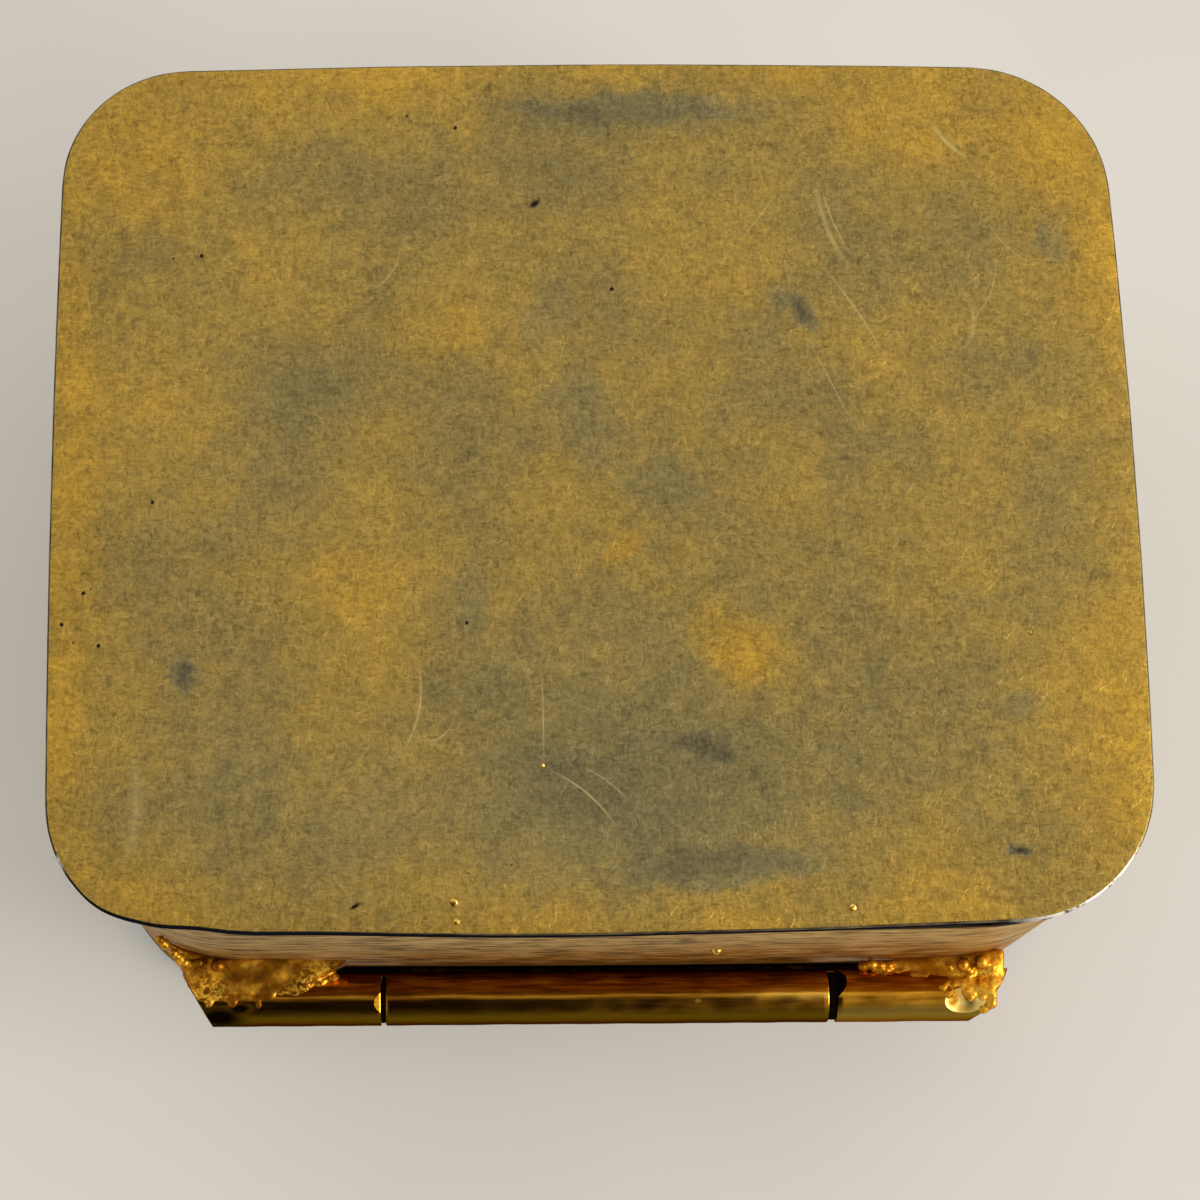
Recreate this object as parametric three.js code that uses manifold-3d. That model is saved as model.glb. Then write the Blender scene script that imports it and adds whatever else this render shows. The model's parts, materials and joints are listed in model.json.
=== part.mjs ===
// A small hinged trinket box of soldered gilt sheet metal: two trays of one outline, rim to rim,
// joined along the back by a three-knuckle barrel hinge.
// Millimetres, +Z up. The origin is the middle of the underside. X runs along the hinge,
// the hinge is on the -Y side and the box opens at the +Y side.

import * as THREE from "three";
import { mergeVertices } from "three/addons/utils/BufferGeometryUtils.js";
import Module from "manifold-3d";

const wasm = await Module();
wasm.setup();

// Outline of the lid's plate, before its sides bow out
const BOX_WIDTH = 64;
const BOX_DEPTH = 53.1;
const CORNER_HINGE_LEFT = 7.4;
const CORNER_HINGE_RIGHT = 7.6;
const CORNER_FRONT_RIGHT = 7.9;
const CORNER_FRONT_LEFT = 7.1;
const BOW_HINGE_SIDE = 0.65;
const BOW_RIGHT_SIDE = 0.6;
const BOW_FRONT_SIDE = 0.55;
const BOW_LEFT_SIDE = 0.35;

// Trays, measured from the joint line where the two rims meet. The lid's plate was soldered on a little
// askew, turned in degrees about the upright
const LID_HEIGHT = 17;
const BASE_HEIGHT = 17;
const RIM_GAP = 0.2;
const PLATE_THICKNESS = 0.9;
const WALL_THICKNESS = 1;
const PLATE_OVERHANG = 0.12;
const HINGE_SIDE_FILING = 0.2;
const SOLDER_FILM = 0.05;
const SEAM_BEAD_LEG = 0.8;
const LID_PLATE_TURN = 0.7;

// The walls are bent rounder than the lid plate's corners, which stand out over them
const WALL_CORNER_HINGE_LEFT = 10.2;
const WALL_CORNER_HINGE_RIGHT = 9;
const WALL_CORNER_FRONT_RIGHT = 9.6;
const WALL_CORNER_FRONT_LEFT = 8.8;

// Bezel: the inner band that stands up from the base and guides the lid
const BEZEL_THICKNESS = 0.6;
const BEZEL_CLEARANCE = 0.25;
const BEZEL_RISE = 2.2;
const BEZEL_SEAT = 5;

// Hinge: its ends are set in from the plates' sides, and filed off on a slant
const KNUCKLE_RADIUS = 1.65;
const KNUCKLE_WALL_GAP = 0.4;
const PIN_RADIUS = 0.8;
const PIN_CLEARANCE = 0.08;
const PIN_RECESS = 0.15;
const LEFT_END_MARGIN = 7.3;
const LEFT_END_SLANT = 31;
const LEFT_KNUCKLE_LENGTH = 11.5;
const LEFT_KNUCKLE_GAP = 0.3;
const RIGHT_END_MARGIN = 6.5;
const RIGHT_END_SLANT = 31;
const RIGHT_KNUCKLE_LENGTH = 10.05;
const RIGHT_KNUCKLE_GAP = 0.5;
const FILING_ALLOWANCE = 12;

// Solder that holds the knuckles to the walls. Its reach is how far it fills in behind the line of the
// wall, where the wall turns away into a corner
const LID_SOLDER_LEFT_RISE = 3;
const LID_SOLDER_RIGHT_RISE = 2.1;
const LID_SOLDER_LEFT_REACH = 3.7;
const LID_SOLDER_RIGHT_REACH = 0.5;
const LID_SOLDER_LEFT_LENGTH = 9.5;
const LID_SOLDER_RIGHT_LENGTH = 9;
const BASE_SOLDER_DROP = 2.6;
const BASE_SOLDER_MARGIN = 0.8;
const BASE_SOLDER_REACH = 0.6;
const SOLDER_RIM_CLEARANCE = 0.35;
const SOLDER_LAP = 0.5;
const SOLDER_SKIN = 0.15;

// Thumb lip on the lid's front rim
const LIP_WIDTH = 11;
const LIP_REACH = 2.2;
const LIP_THICKNESS = 1.1;

// Fineness of round stretches
const CORNER_STEPS = 8;
const SIDE_STEPS = 8;
const BARREL_STEPS = 32;
const FILLET_STEPS = 6;

const giltSheet = new THREE.MeshStandardMaterial({ color: 0xa38435, roughness: 0.5, metalness: 0.85 });
const wornSheet = new THREE.MeshStandardMaterial({ color: 0xa5906f, roughness: 0.45, metalness: 0.85 });
const giltTube = new THREE.MeshStandardMaterial({ color: 0xa8751f, roughness: 0.3, metalness: 0.95 });
const giltSolder = new THREE.MeshStandardMaterial({ color: 0xc78c2a, roughness: 0.35, metalness: 0.95 });
const brassWire = new THREE.MeshStandardMaterial({ color: 0x8a7440, roughness: 0.4, metalness: 0.95 });

// A piece's place across its outline: how far its edge lies inside the lid plate's edge
const WALL_INSET = PLATE_OVERHANG;
const WALL_INNER_INSET = WALL_INSET + WALL_THICKNESS;
const BEZEL_INSET = WALL_INNER_INSET + BEZEL_CLEARANCE;
const BEZEL_INNER_INSET = BEZEL_INSET + BEZEL_THICKNESS;
const WALL_HINGE_BOW = BOW_HINGE_SIDE - HINGE_SIDE_FILING;

// The hinge line, seen from the box's own frame
const WALL_TO_AXIS = KNUCKLE_RADIUS + KNUCKLE_WALL_GAP;
const HINGE_Y = -(BOX_DEPTH / 2 - WALL_INSET + WALL_HINGE_BOW + WALL_TO_AXIS);
const JOINT_Z = BASE_HEIGHT;
const LEFT_END = LEFT_END_MARGIN - BOX_WIDTH / 2;
const RIGHT_END = BOX_WIDTH / 2 - RIGHT_END_MARGIN;
const LEFT_KNUCKLE_TO = LEFT_END + LEFT_KNUCKLE_LENGTH;
const RIGHT_KNUCKLE_FROM = RIGHT_END - RIGHT_KNUCKLE_LENGTH;
const CENTRE_KNUCKLE_FROM = LEFT_KNUCKLE_TO + LEFT_KNUCKLE_GAP;
const CENTRE_KNUCKLE_TO = RIGHT_KNUCKLE_FROM - RIGHT_KNUCKLE_GAP;
const BORE_RADIUS = (PIN_RADIUS + PIN_CLEARANCE) / Math.cos(Math.PI / BARREL_STEPS);

// A closed geometry as a solid for joining and cutting
function solidOf(geometry) {
  const bare = new THREE.BufferGeometry().setAttribute("position", geometry.getAttribute("position"));
  bare.setIndex(geometry.index);
  const merged = mergeVertices(bare, 1e-4);
  return new wasm.Manifold(
    new wasm.Mesh({
      numProp: 3,
      vertProperties: merged.attributes.position.array,
      triVerts: new Uint32Array(merged.index.array),
    }),
  );
}

// The solid left when the cutters are taken from a geometry
function cut(geometry, ...cutters) {
  const left = cutters.reduce((solid, cutter) => solid.subtract(solidOf(cutter)), solidOf(geometry));
  const mesh = left.getMesh();
  const made = new THREE.BufferGeometry();
  made.setAttribute("position", new THREE.BufferAttribute(mesh.vertProperties, 3));
  made.setIndex(new THREE.BufferAttribute(mesh.triVerts, 1));
  made.computeVertexNormals();
  return made;
}

// Corner radii in order round the box, from the left corner on the hinge side
const PLATE_CORNERS = [CORNER_HINGE_LEFT, CORNER_HINGE_RIGHT, CORNER_FRONT_RIGHT, CORNER_FRONT_LEFT];
const WALL_CORNERS = [
  WALL_CORNER_HINGE_LEFT,
  WALL_CORNER_HINGE_RIGHT,
  WALL_CORNER_FRONT_RIGHT,
  WALL_CORNER_FRONT_LEFT,
];

// The box's rounded rectangle drawn in by an inset, with each side bowed outwards
function cushionOutline(inset, radii, hingeBow) {
  const halfWidth = BOX_WIDTH / 2 - inset;
  const halfDepth = BOX_DEPTH / 2 - inset;
  const corners = [
    { sx: -1, sy: -1, radius: radii[0] - inset, from: Math.PI },
    { sx: 1, sy: -1, radius: radii[1] - inset, from: Math.PI * 1.5 },
    { sx: 1, sy: 1, radius: radii[2] - inset, from: 0 },
    { sx: -1, sy: 1, radius: radii[3] - inset, from: Math.PI / 2 },
  ];
  const arcs = corners.map(({ sx, sy, radius, from }) =>
    Array.from({ length: CORNER_STEPS + 1 }, (_, i) => {
      const angle = from + (i / CORNER_STEPS) * (Math.PI / 2);
      const x = sx * (halfWidth - radius) + radius * Math.cos(angle);
      const y = sy * (halfDepth - radius) + radius * Math.sin(angle);
      return new THREE.Vector2(x, y);
    }),
  );
  const points = arcs.flatMap((arc, i) => {
    const start = arc[CORNER_STEPS];
    const end = arcs[(i + 1) % arcs.length][0];
    const side = Array.from({ length: SIDE_STEPS - 1 }, (_, k) =>
      new THREE.Vector2().lerpVectors(start, end, (k + 1) / SIDE_STEPS),
    );
    return [...arc, ...side];
  });
  return points.map(({ x, y }) => {
    const bowX = x > 0 ? BOW_RIGHT_SIDE : BOW_LEFT_SIDE;
    const bowY = y > 0 ? BOW_FRONT_SIDE : hingeBow;
    const u = x / halfWidth;
    const v = y / halfDepth;
    return new THREE.Vector2(x + u * bowX * (1 - v * v), y + v * bowY * (1 - u * u));
  });
}

function wallOutline(inset) {
  return cushionOutline(inset, WALL_CORNERS, WALL_HINGE_BOW);
}

// A flat slab of an outline, standing on z = 0
function slab(outline, height) {
  return new THREE.ExtrudeGeometry(new THREE.Shape(outline), { depth: height, bevelEnabled: false });
}

// An upright band between two outlines, standing on z = 0
function band(outer, inner, height) {
  const shape = new THREE.Shape(outer);
  shape.holes.push(new THREE.Path(inner));
  return new THREE.ExtrudeGeometry(shape, { depth: height, bevelEnabled: false });
}

// A three-cornered bead of solder that runs round inside a band: flat on z = 0, with its tip on the wall,
// above the flat or, if the rise is negative, below it
function cornerBead(outer, inner, rise) {
  const count = outer.length;
  const rows = [
    outer.map((p) => [p.x, p.y, 0]),
    outer.map((p) => [p.x, p.y, rise]),
    inner.map((p) => [p.x, p.y, 0]),
  ];
  if (rise < 0) rows.reverse();
  const index = [];
  for (let row = 0; row < rows.length; row++) {
    const next = (row + 1) % rows.length;
    for (let i = 0; i < count; i++) {
      const j = (i + 1) % count;
      const [a, b] = [row * count + i, row * count + j];
      const [c, d] = [next * count + i, next * count + j];
      index.push(a, b, c, b, d, c);
    }
  }
  const bead = new THREE.BufferGeometry();
  bead.setAttribute("position", new THREE.Float32BufferAttribute(rows.flat(2), 3));
  bead.setIndex(index);
  bead.computeVertexNormals();
  return bead;
}

// A tube about the X axis, or a rod if its bore is nothing
function tube(radius, bore, fromX, toX) {
  const profile = [
    new THREE.Vector2(bore, fromX),
    new THREE.Vector2(radius, fromX),
    new THREE.Vector2(radius, toX),
    new THREE.Vector2(bore, toX),
  ];
  if (bore > 0) profile.push(profile[0].clone());
  const turned = new THREE.LatheGeometry(profile, BARREL_STEPS);
  return turned.rotateZ(-Math.PI / 2);
}

// The block that a file takes off one end of the barrel, on a slant: hand is -1 left or 1 right
function endBlock(hand, endX, slantDegrees) {
  const size = BOX_WIDTH * 2;
  const slant = THREE.MathUtils.degToRad(slantDegrees);
  const block = new THREE.BoxGeometry(size, size, size);
  block.rotateZ(-hand * slant);
  const middleX = endX + (hand * Math.cos(slant) * size) / 2;
  const middleY = (-Math.sin(slant) * size) / 2;
  return block.translate(middleX, middleY, 0);
}

// Solder in the crook between a knuckle and a wall, in the hinge's frame. Its tip lies on the wall,
// above the joint line on the lid and below it on the base
function crookSolder(fromX, toX, tip, reach, ...files) {
  const up = Math.sign(tip);
  const barrel = KNUCKLE_RADIUS + SOLDER_FILM;
  const lapHeight = Math.sqrt(barrel ** 2 - SOLDER_LAP ** 2) + SOLDER_SKIN;
  const inside = WALL_TO_AXIS + reach;
  const section = new THREE.Shape();
  section.moveTo(inside, up * SOLDER_RIM_CLEARANCE);
  section.lineTo(inside, tip);
  section.lineTo(WALL_TO_AXIS, tip);
  section.quadraticCurveTo(WALL_TO_AXIS / 2, up * (barrel + SOLDER_SKIN), -SOLDER_LAP, up * lapHeight);
  section.lineTo(-SOLDER_LAP, up * SOLDER_RIM_CLEARANCE);
  const bar = new THREE.ExtrudeGeometry(section, {
    depth: toX - fromX,
    bevelEnabled: false,
    curveSegments: FILLET_STEPS,
  });
  bar.rotateY(Math.PI / 2).rotateX(Math.PI / 2).translate(fromX, 0, 0);
  return cut(bar, wallSpace, tube(barrel, 0, fromX - barrel, toX + barrel), ...files);
}

function piece(name, geometry, material, x, y, z) {
  const mesh = new THREE.Mesh(geometry, material);
  mesh.name = name;
  mesh.position.set(x, y, z);
  return mesh;
}

// Wall heights: from the rim to the plate, less the film of solder between them
const rimToPlate = (height) => height - PLATE_THICKNESS - RIM_GAP / 2 - SOLDER_FILM;
const lidPlate = slab(cushionOutline(0, PLATE_CORNERS, BOW_HINGE_SIDE), PLATE_THICKNESS);
lidPlate.rotateZ(THREE.MathUtils.degToRad(LID_PLATE_TURN));
const basePlate = slab(cushionOutline(0, WALL_CORNERS, BOW_HINGE_SIDE), PLATE_THICKNESS);
const wall = (height) => band(wallOutline(WALL_INSET), wallOutline(WALL_INNER_INSET), rimToPlate(height));
const seamBead = (rise) =>
  cornerBead(
    wallOutline(WALL_INNER_INSET + SOLDER_FILM),
    wallOutline(WALL_INNER_INSET + SOLDER_FILM + SEAM_BEAD_LEG),
    rise,
  );

// The space that the walls take up, with its film of solder, in the hinge's frame
const wallSpace = slab(wallOutline(WALL_INSET - SOLDER_FILM), LID_HEIGHT + BASE_HEIGHT);
wallSpace.translate(0, -HINGE_Y, -JOINT_Z);
const leftFile = endBlock(-1, LEFT_END, LEFT_END_SLANT);
const rightFile = endBlock(1, RIGHT_END, RIGHT_END_SLANT);

// Base tray, in the box's frame
const base = new THREE.Group();
const baseFloor = PLATE_THICKNESS + SOLDER_FILM;
base.add(
  piece("base_plate", basePlate, giltSheet, 0, 0, 0),
  piece("base_wall", wall(BASE_HEIGHT), wornSheet, 0, 0, baseFloor),
  piece("base_seam_solder", seamBead(SEAM_BEAD_LEG), giltSolder, 0, 0, baseFloor),
);
const bezel = band(wallOutline(BEZEL_INSET), wallOutline(BEZEL_INNER_INSET), BEZEL_SEAT + BEZEL_RISE);
base.add(piece("bezel_band", bezel, giltSheet, 0, 0, JOINT_Z - BEZEL_SEAT));

// Base half of the hinge, about the hinge line
const baseHinge = new THREE.Group();
baseHinge.position.set(0, HINGE_Y, JOINT_Z);
const centreKnuckle = tube(KNUCKLE_RADIUS, BORE_RADIUS, CENTRE_KNUCKLE_FROM, CENTRE_KNUCKLE_TO);
const centreSolder = crookSolder(
  CENTRE_KNUCKLE_FROM + BASE_SOLDER_MARGIN,
  CENTRE_KNUCKLE_TO - BASE_SOLDER_MARGIN,
  -BASE_SOLDER_DROP,
  BASE_SOLDER_REACH,
);
baseHinge.add(
  piece("hinge_knuckle_centre", centreKnuckle, giltTube, 0, 0, 0),
  piece("hinge_solder_centre", centreSolder, giltSolder, 0, 0, 0),
);
base.add(baseHinge);

// Lid tray: its group turns about the hinge line
const lid = new THREE.Group();
lid.position.set(0, HINGE_Y, JOINT_Z);
const lidCeiling = LID_HEIGHT - PLATE_THICKNESS - SOLDER_FILM;
lid.add(
  piece("lid_plate", lidPlate, giltSheet, 0, -HINGE_Y, LID_HEIGHT - PLATE_THICKNESS),
  piece("lid_wall", wall(LID_HEIGHT), wornSheet, 0, -HINGE_Y, RIM_GAP / 2),
  piece("lid_seam_solder", seamBead(-SEAM_BEAD_LEG), giltSolder, 0, -HINGE_Y, lidCeiling),
);

// Lid half of the hinge: the two outer knuckles, filed off on a slant, with the pin fixed in them
const blankFrom = LEFT_END - FILING_ALLOWANCE;
const blankTo = RIGHT_END + FILING_ALLOWANCE;
const leftKnuckle = tube(KNUCKLE_RADIUS, BORE_RADIUS, blankFrom, LEFT_KNUCKLE_TO);
const rightKnuckle = tube(KNUCKLE_RADIUS, BORE_RADIUS, RIGHT_KNUCKLE_FROM, blankTo);
const pin = cut(
  tube(PIN_RADIUS, 0, blankFrom, blankTo),
  endBlock(-1, LEFT_END + PIN_RECESS, LEFT_END_SLANT),
  endBlock(1, RIGHT_END - PIN_RECESS, RIGHT_END_SLANT),
);
const leftSolder = crookSolder(
  blankFrom,
  LEFT_END + LID_SOLDER_LEFT_LENGTH,
  LID_SOLDER_LEFT_RISE,
  LID_SOLDER_LEFT_REACH,
  leftFile,
);
const rightSolder = crookSolder(
  RIGHT_END - LID_SOLDER_RIGHT_LENGTH,
  blankTo,
  LID_SOLDER_RIGHT_RISE,
  LID_SOLDER_RIGHT_REACH,
  rightFile,
);
lid.add(
  piece("hinge_knuckle_left", cut(leftKnuckle, leftFile), giltTube, 0, 0, 0),
  piece("hinge_knuckle_right", cut(rightKnuckle, rightFile), giltTube, 0, 0, 0),
  piece("hinge_pin", pin, brassWire, 0, 0, 0),
  piece("hinge_solder_left", leftSolder, giltSolder, 0, 0, 0),
  piece("hinge_solder_right", rightSolder, giltSolder, 0, 0, 0),
);

// Thumb lip, soldered to the lid's front wall just above its rim
const lipPlan = new THREE.Shape().absellipse(0, 0, LIP_WIDTH / 2, LIP_REACH, 0, Math.PI * 2);
const lipBlank = new THREE.ExtrudeGeometry(lipPlan, { depth: LIP_THICKNESS, bevelEnabled: false });
const lipY = BOX_DEPTH / 2 - WALL_INSET + BOW_FRONT_SIDE - HINGE_Y;
lipBlank.translate(0, lipY, RIM_GAP / 2);
lid.add(piece("thumb_lip", cut(lipBlank, wallSpace), giltTube, 0, 0, 0));

const trinketBox = new THREE.Group();
trinketBox.add(base, lid);
export default trinketBox;
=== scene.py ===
"""Dresses a small gilt trinket box, lid shut and hinge towards the camera, on a pale sheet of paper.

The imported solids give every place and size. Each visible piece is modelled over its own solid with more
detail, and gets a finish made of nodes. Lengths in this file are millimetres, and MM turns them to metres.
"""

import json
import logging
import math
import random
from collections.abc import Callable, Iterator, Sequence
from contextlib import contextmanager
from dataclasses import dataclass
from enum import Enum
from typing import Any

import bmesh
import bpy
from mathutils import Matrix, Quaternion, Vector

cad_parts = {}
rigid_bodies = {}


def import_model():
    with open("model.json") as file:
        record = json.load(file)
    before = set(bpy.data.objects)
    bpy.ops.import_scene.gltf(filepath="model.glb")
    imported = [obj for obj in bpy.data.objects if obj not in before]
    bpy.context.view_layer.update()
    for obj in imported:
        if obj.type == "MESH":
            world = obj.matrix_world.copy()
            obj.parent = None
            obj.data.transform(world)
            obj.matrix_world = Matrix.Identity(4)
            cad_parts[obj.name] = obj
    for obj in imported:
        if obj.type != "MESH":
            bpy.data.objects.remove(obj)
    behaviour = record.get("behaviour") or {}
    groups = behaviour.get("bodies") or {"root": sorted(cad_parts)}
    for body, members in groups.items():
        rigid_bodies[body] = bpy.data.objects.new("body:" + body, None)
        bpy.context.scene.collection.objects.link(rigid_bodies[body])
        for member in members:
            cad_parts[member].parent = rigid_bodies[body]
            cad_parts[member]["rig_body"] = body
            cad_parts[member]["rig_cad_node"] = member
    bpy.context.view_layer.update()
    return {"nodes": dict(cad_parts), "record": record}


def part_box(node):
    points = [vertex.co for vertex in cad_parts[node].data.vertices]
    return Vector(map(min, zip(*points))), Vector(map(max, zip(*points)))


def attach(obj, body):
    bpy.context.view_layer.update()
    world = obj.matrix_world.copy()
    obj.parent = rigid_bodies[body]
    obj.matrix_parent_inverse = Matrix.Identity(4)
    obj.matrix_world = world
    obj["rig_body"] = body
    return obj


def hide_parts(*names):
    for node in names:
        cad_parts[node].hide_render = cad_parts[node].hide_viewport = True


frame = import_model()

LOG = logging.getLogger("trinket_box")
MM = 0.001
# Closer than this, two points are one
FINE = 0.001 * MM
ROD_SIDES = 96
# Two faces look the same way if their normals' product is over this
FACES_ALIKE = 0.997
# How far in from a plate's outer face its edge is free of painted shade, and where that painted shade is
# full
EDGE_UNSHADED, EDGE_SHADED = 0.04, 0.12

# The lid's plate lies this many degrees askew on its walls. The camera and its marks were fitted to it.
PLATE_TURN = 0.7

Piece = bpy.types.Object
Socket = bpy.types.NodeSocket
Tree = bpy.types.NodeTree

# Sockets of the Mix node when it mixes colours, which share their names with its other kinds
MIX_FACTOR, MIX_A, MIX_B, MIX_COLOUR = 0, 6, 7, 2


class Body(Enum):
    """The two halves that move against each other."""

    BASE = "base"
    LID = "lid"


class Slot(Enum):
    """The record's material slots."""

    SHEET = "gilt_sheet"
    WORN = "worn_sheet"
    TUBE = "gilt_tube"
    SOLDER = "gilt_solder"
    WIRE = "pin_wire"


class Hand(Enum):
    """Which end of the hinge, as a sign along X."""

    LEFT = -1
    RIGHT = 1


# Small helpers for nodes


def linear(colour: str, alpha: float = 1.0) -> tuple[float, float, float, float]:
    """Turn an sRGB hex colour to linear light.

    Args:
        colour: six hex digits after a hash.
        alpha: the fourth channel.

    Returns:
        Linear red, green and blue, and alpha.
    """
    channels = (int(colour[i:i + 2], 16) / 255 for i in (1, 3, 5))
    red, green, blue = (c / 12.92 if c <= 0.04045 else ((c + 0.055) / 1.055) ** 2.4 for c in channels)
    return red, green, blue, alpha


def per_mm(size: float) -> float:
    """The texture scale at which a pattern's features are about this many millimetres across."""
    return 1 / (size * MM)


def add_node(
    tree: Tree,
    kind: str,
    inputs: dict[str | int, Any] | None = None,
    stops: Sequence[tuple[float, Any]] = (),
    **settings: Any,
) -> bpy.types.Node:
    """Add a node, with its settings, its values and the links into it.

    Args:
        tree: the node tree to add to.
        kind: the node's type, without its first two words.
        inputs: socket name or number to the socket that feeds it, or to a plain value.
        stops: a colour ramp's stops, each a place and a colour.
        settings: the node's own properties.

    Returns:
        The new node.
    """
    node = tree.nodes.new(f"ShaderNode{kind}")
    for name, value in settings.items():
        setattr(node, name, value)
    for key, value in (inputs or {}).items():
        if isinstance(value, Socket):
            tree.links.new(value, node.inputs[key])
        else:
            node.inputs[key].default_value = value
    for number, (place, colour) in enumerate(stops):
        elements = node.color_ramp.elements
        stop = elements[number] if number < len(elements) else elements.new(place)
        stop.position = place
        stop.color = colour if not isinstance(colour, float) else (colour, colour, colour, 1)
    return node


# Small helpers for modelling


def select_only(*pieces: Piece) -> None:
    """Select these objects and nothing else, and make the first one active."""
    bpy.ops.object.select_all(action="DESELECT")
    for piece in pieces:
        piece.select_set(True)
    bpy.context.view_layer.objects.active = pieces[0]


@contextmanager
def editing(piece: Piece, select: str = "SELECT") -> Iterator[None]:
    """Work on one piece in edit mode.

    Args:
        piece: the mesh object.
        select: what is selected at the start, SELECT for all or DESELECT for none.
    """
    select_only(piece)
    bpy.ops.object.mode_set(mode="EDIT")
    bpy.ops.mesh.select_mode(type="VERT")
    bpy.ops.mesh.select_all(action=select)
    yield
    bpy.ops.object.mode_set(mode="OBJECT")


def choose_edges(piece: Piece, wanted: Callable[[bmesh.types.BMEdge], bool]) -> None:
    """In edit mode, select just the edges that pass a test.

    Args:
        piece: the mesh object in edit mode.
        wanted: the test.
    """
    bpy.ops.mesh.select_mode(type="EDGE")
    bpy.ops.mesh.select_all(action="DESELECT")
    shape = bmesh.from_edit_mesh(piece.data)
    for edge in shape.edges:
        edge.select_set(wanted(edge))
    bmesh.update_edit_mesh(piece.data)


def cut_off(piece: Piece, *cuts: tuple[Vector, Vector]) -> None:
    """Cut a piece off flat past one or more planes, and close each cut.

    Args:
        piece: the mesh object.
        cuts: for each plane, a point on it and the way that the waste lies.
    """
    for point, normal in cuts:
        with editing(piece):
            bpy.ops.mesh.bisect(
                plane_co=point, plane_no=normal, use_fill=True, clear_outer=True, threshold=FINE
            )


def modify(piece: Piece, kind: str, **settings: Any) -> None:
    """Add a modifier to a piece and apply it.

    Args:
        piece: the mesh object.
        kind: the modifier's type.
        settings: the modifier's own properties.
    """
    select_only(piece)
    modifier = piece.modifiers.new(kind.lower(), kind)
    for name, value in settings.items():
        setattr(modifier, name, value)
    bpy.ops.object.modifier_apply(modifier=modifier.name)


def ease_edges(piece: Piece, width: float, segments: int, degrees: float) -> None:
    """Round off the edges over an angle.

    Args:
        piece: the mesh object.
        width: how wide the rounding is, in mm.
        segments: its steps.
        degrees: the angle.
    """
    limit = math.radians(degrees)
    modify(piece, "BEVEL", width=width * MM, segments=segments, limit_method="ANGLE", angle_limit=limit)


def rod_along_x(name: str, middle: Vector, radius: float, length: float) -> Piece:
    """Add a plain round bar along X.

    Args:
        name: its name.
        middle: its middle, in metres.
        radius: its radius, in metres.
        length: its length, in metres.

    Returns:
        The bar, with its place in its mesh.
    """
    bpy.ops.object.select_all(action="DESELECT")
    bpy.ops.mesh.primitive_cylinder_add(
        vertices=ROD_SIDES, radius=radius, depth=length, location=middle, rotation=(0, math.pi / 2, 0)
    )
    bpy.ops.object.transform_apply(location=True, rotation=True, scale=True)
    bar = bpy.context.view_layer.objects.active
    bar.name = bar.data.name = name
    return bar


def solid_copy(node: str, name: str) -> Piece:
    """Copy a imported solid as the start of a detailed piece.

    Args:
        node: the solid's name.
        name: the new piece's name.

    Returns:
        A mesh with its vertices merged and its flat faces whole, on no body yet.
    """
    select_only(frame["nodes"][node])
    bpy.ops.object.duplicate()
    piece = bpy.context.view_layer.objects.active
    piece.name = piece.data.name = name
    piece.parent = None
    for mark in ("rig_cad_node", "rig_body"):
        del piece[mark]
    piece.data.materials.clear()
    with editing(piece):
        bpy.ops.mesh.customdata_custom_splitnormals_clear()
        bpy.ops.mesh.remove_doubles(threshold=2 * FINE)
        limit = math.radians(60)
        bpy.ops.mesh.tris_convert_to_quads(face_threshold=limit, shape_threshold=limit)
    return piece


def smooth(piece: Piece, degrees: float = 35) -> None:
    """Shade a piece smooth, but sharp at edges over an angle.

    Args:
        piece: the mesh object.
        degrees: the angle.
    """
    select_only(piece)
    bpy.ops.object.shade_smooth_by_angle(angle=math.radians(degrees))


def ripple(piece: Piece, size: float, height: float, **settings: Any) -> None:
    """Raise and lower a surface by a cloud pattern.

    Args:
        piece: the mesh object.
        size: how wide the lumps are, in mm.
        height: from the lowest to the highest, in mm.
        settings: more properties of the Displace modifier.
    """
    clouds = bpy.data.textures.new(f"{piece.name}_{size}", "CLOUDS")
    clouds.noise_scale = size * MM
    clouds.noise_basis = "BLENDER_ORIGINAL"
    clouds.noise_depth = 2
    modify(piece, "DISPLACE", texture=clouds, texture_coords="LOCAL", strength=height * MM, **settings)


def dress(
    piece: Piece, body: Body, finishes: Sequence["Finish"], nodes: Sequence[str] = ()
) -> None:
    """Give a piece its finishes, its body, and the solids that it stands for.

    Args:
        piece: the mesh object.
        body: the half of the box that it moves with.
        finishes: one finish for each material number in the mesh.
        nodes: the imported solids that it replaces.
    """
    for number, finish in enumerate(finishes):
        if number < len(piece.data.materials):
            piece.data.materials[number] = finish.material()
        else:
            piece.data.materials.append(finish.material())
    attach(piece, body.value)
    if nodes:
        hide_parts(*nodes)
    LOG.info("%s: %d faces, rides on %s", piece.name, len(piece.data.polygons), body.value)


# Finishes


@dataclass(frozen=True)
class Mark:
    """A soft-edged patch on a flat plate.

    Its middle is x and y. It reaches `long` and `wide` to either side, turned anticlockwise by `turn`
    degrees. Its strength is how far it shifts the tone: below 0 towards bare dark metal, above 0 towards
    bright gilt.
    """

    x: float
    y: float
    long: float
    wide: float
    turn: float
    strength: float


@dataclass(frozen=True)
class Scratch:
    """A thin line on a flat plate, bent sideways by `bend` half-widths at its ends."""

    x: float
    y: float
    long: float
    wide: float
    turn: float
    bend: float
    strength: float


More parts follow.
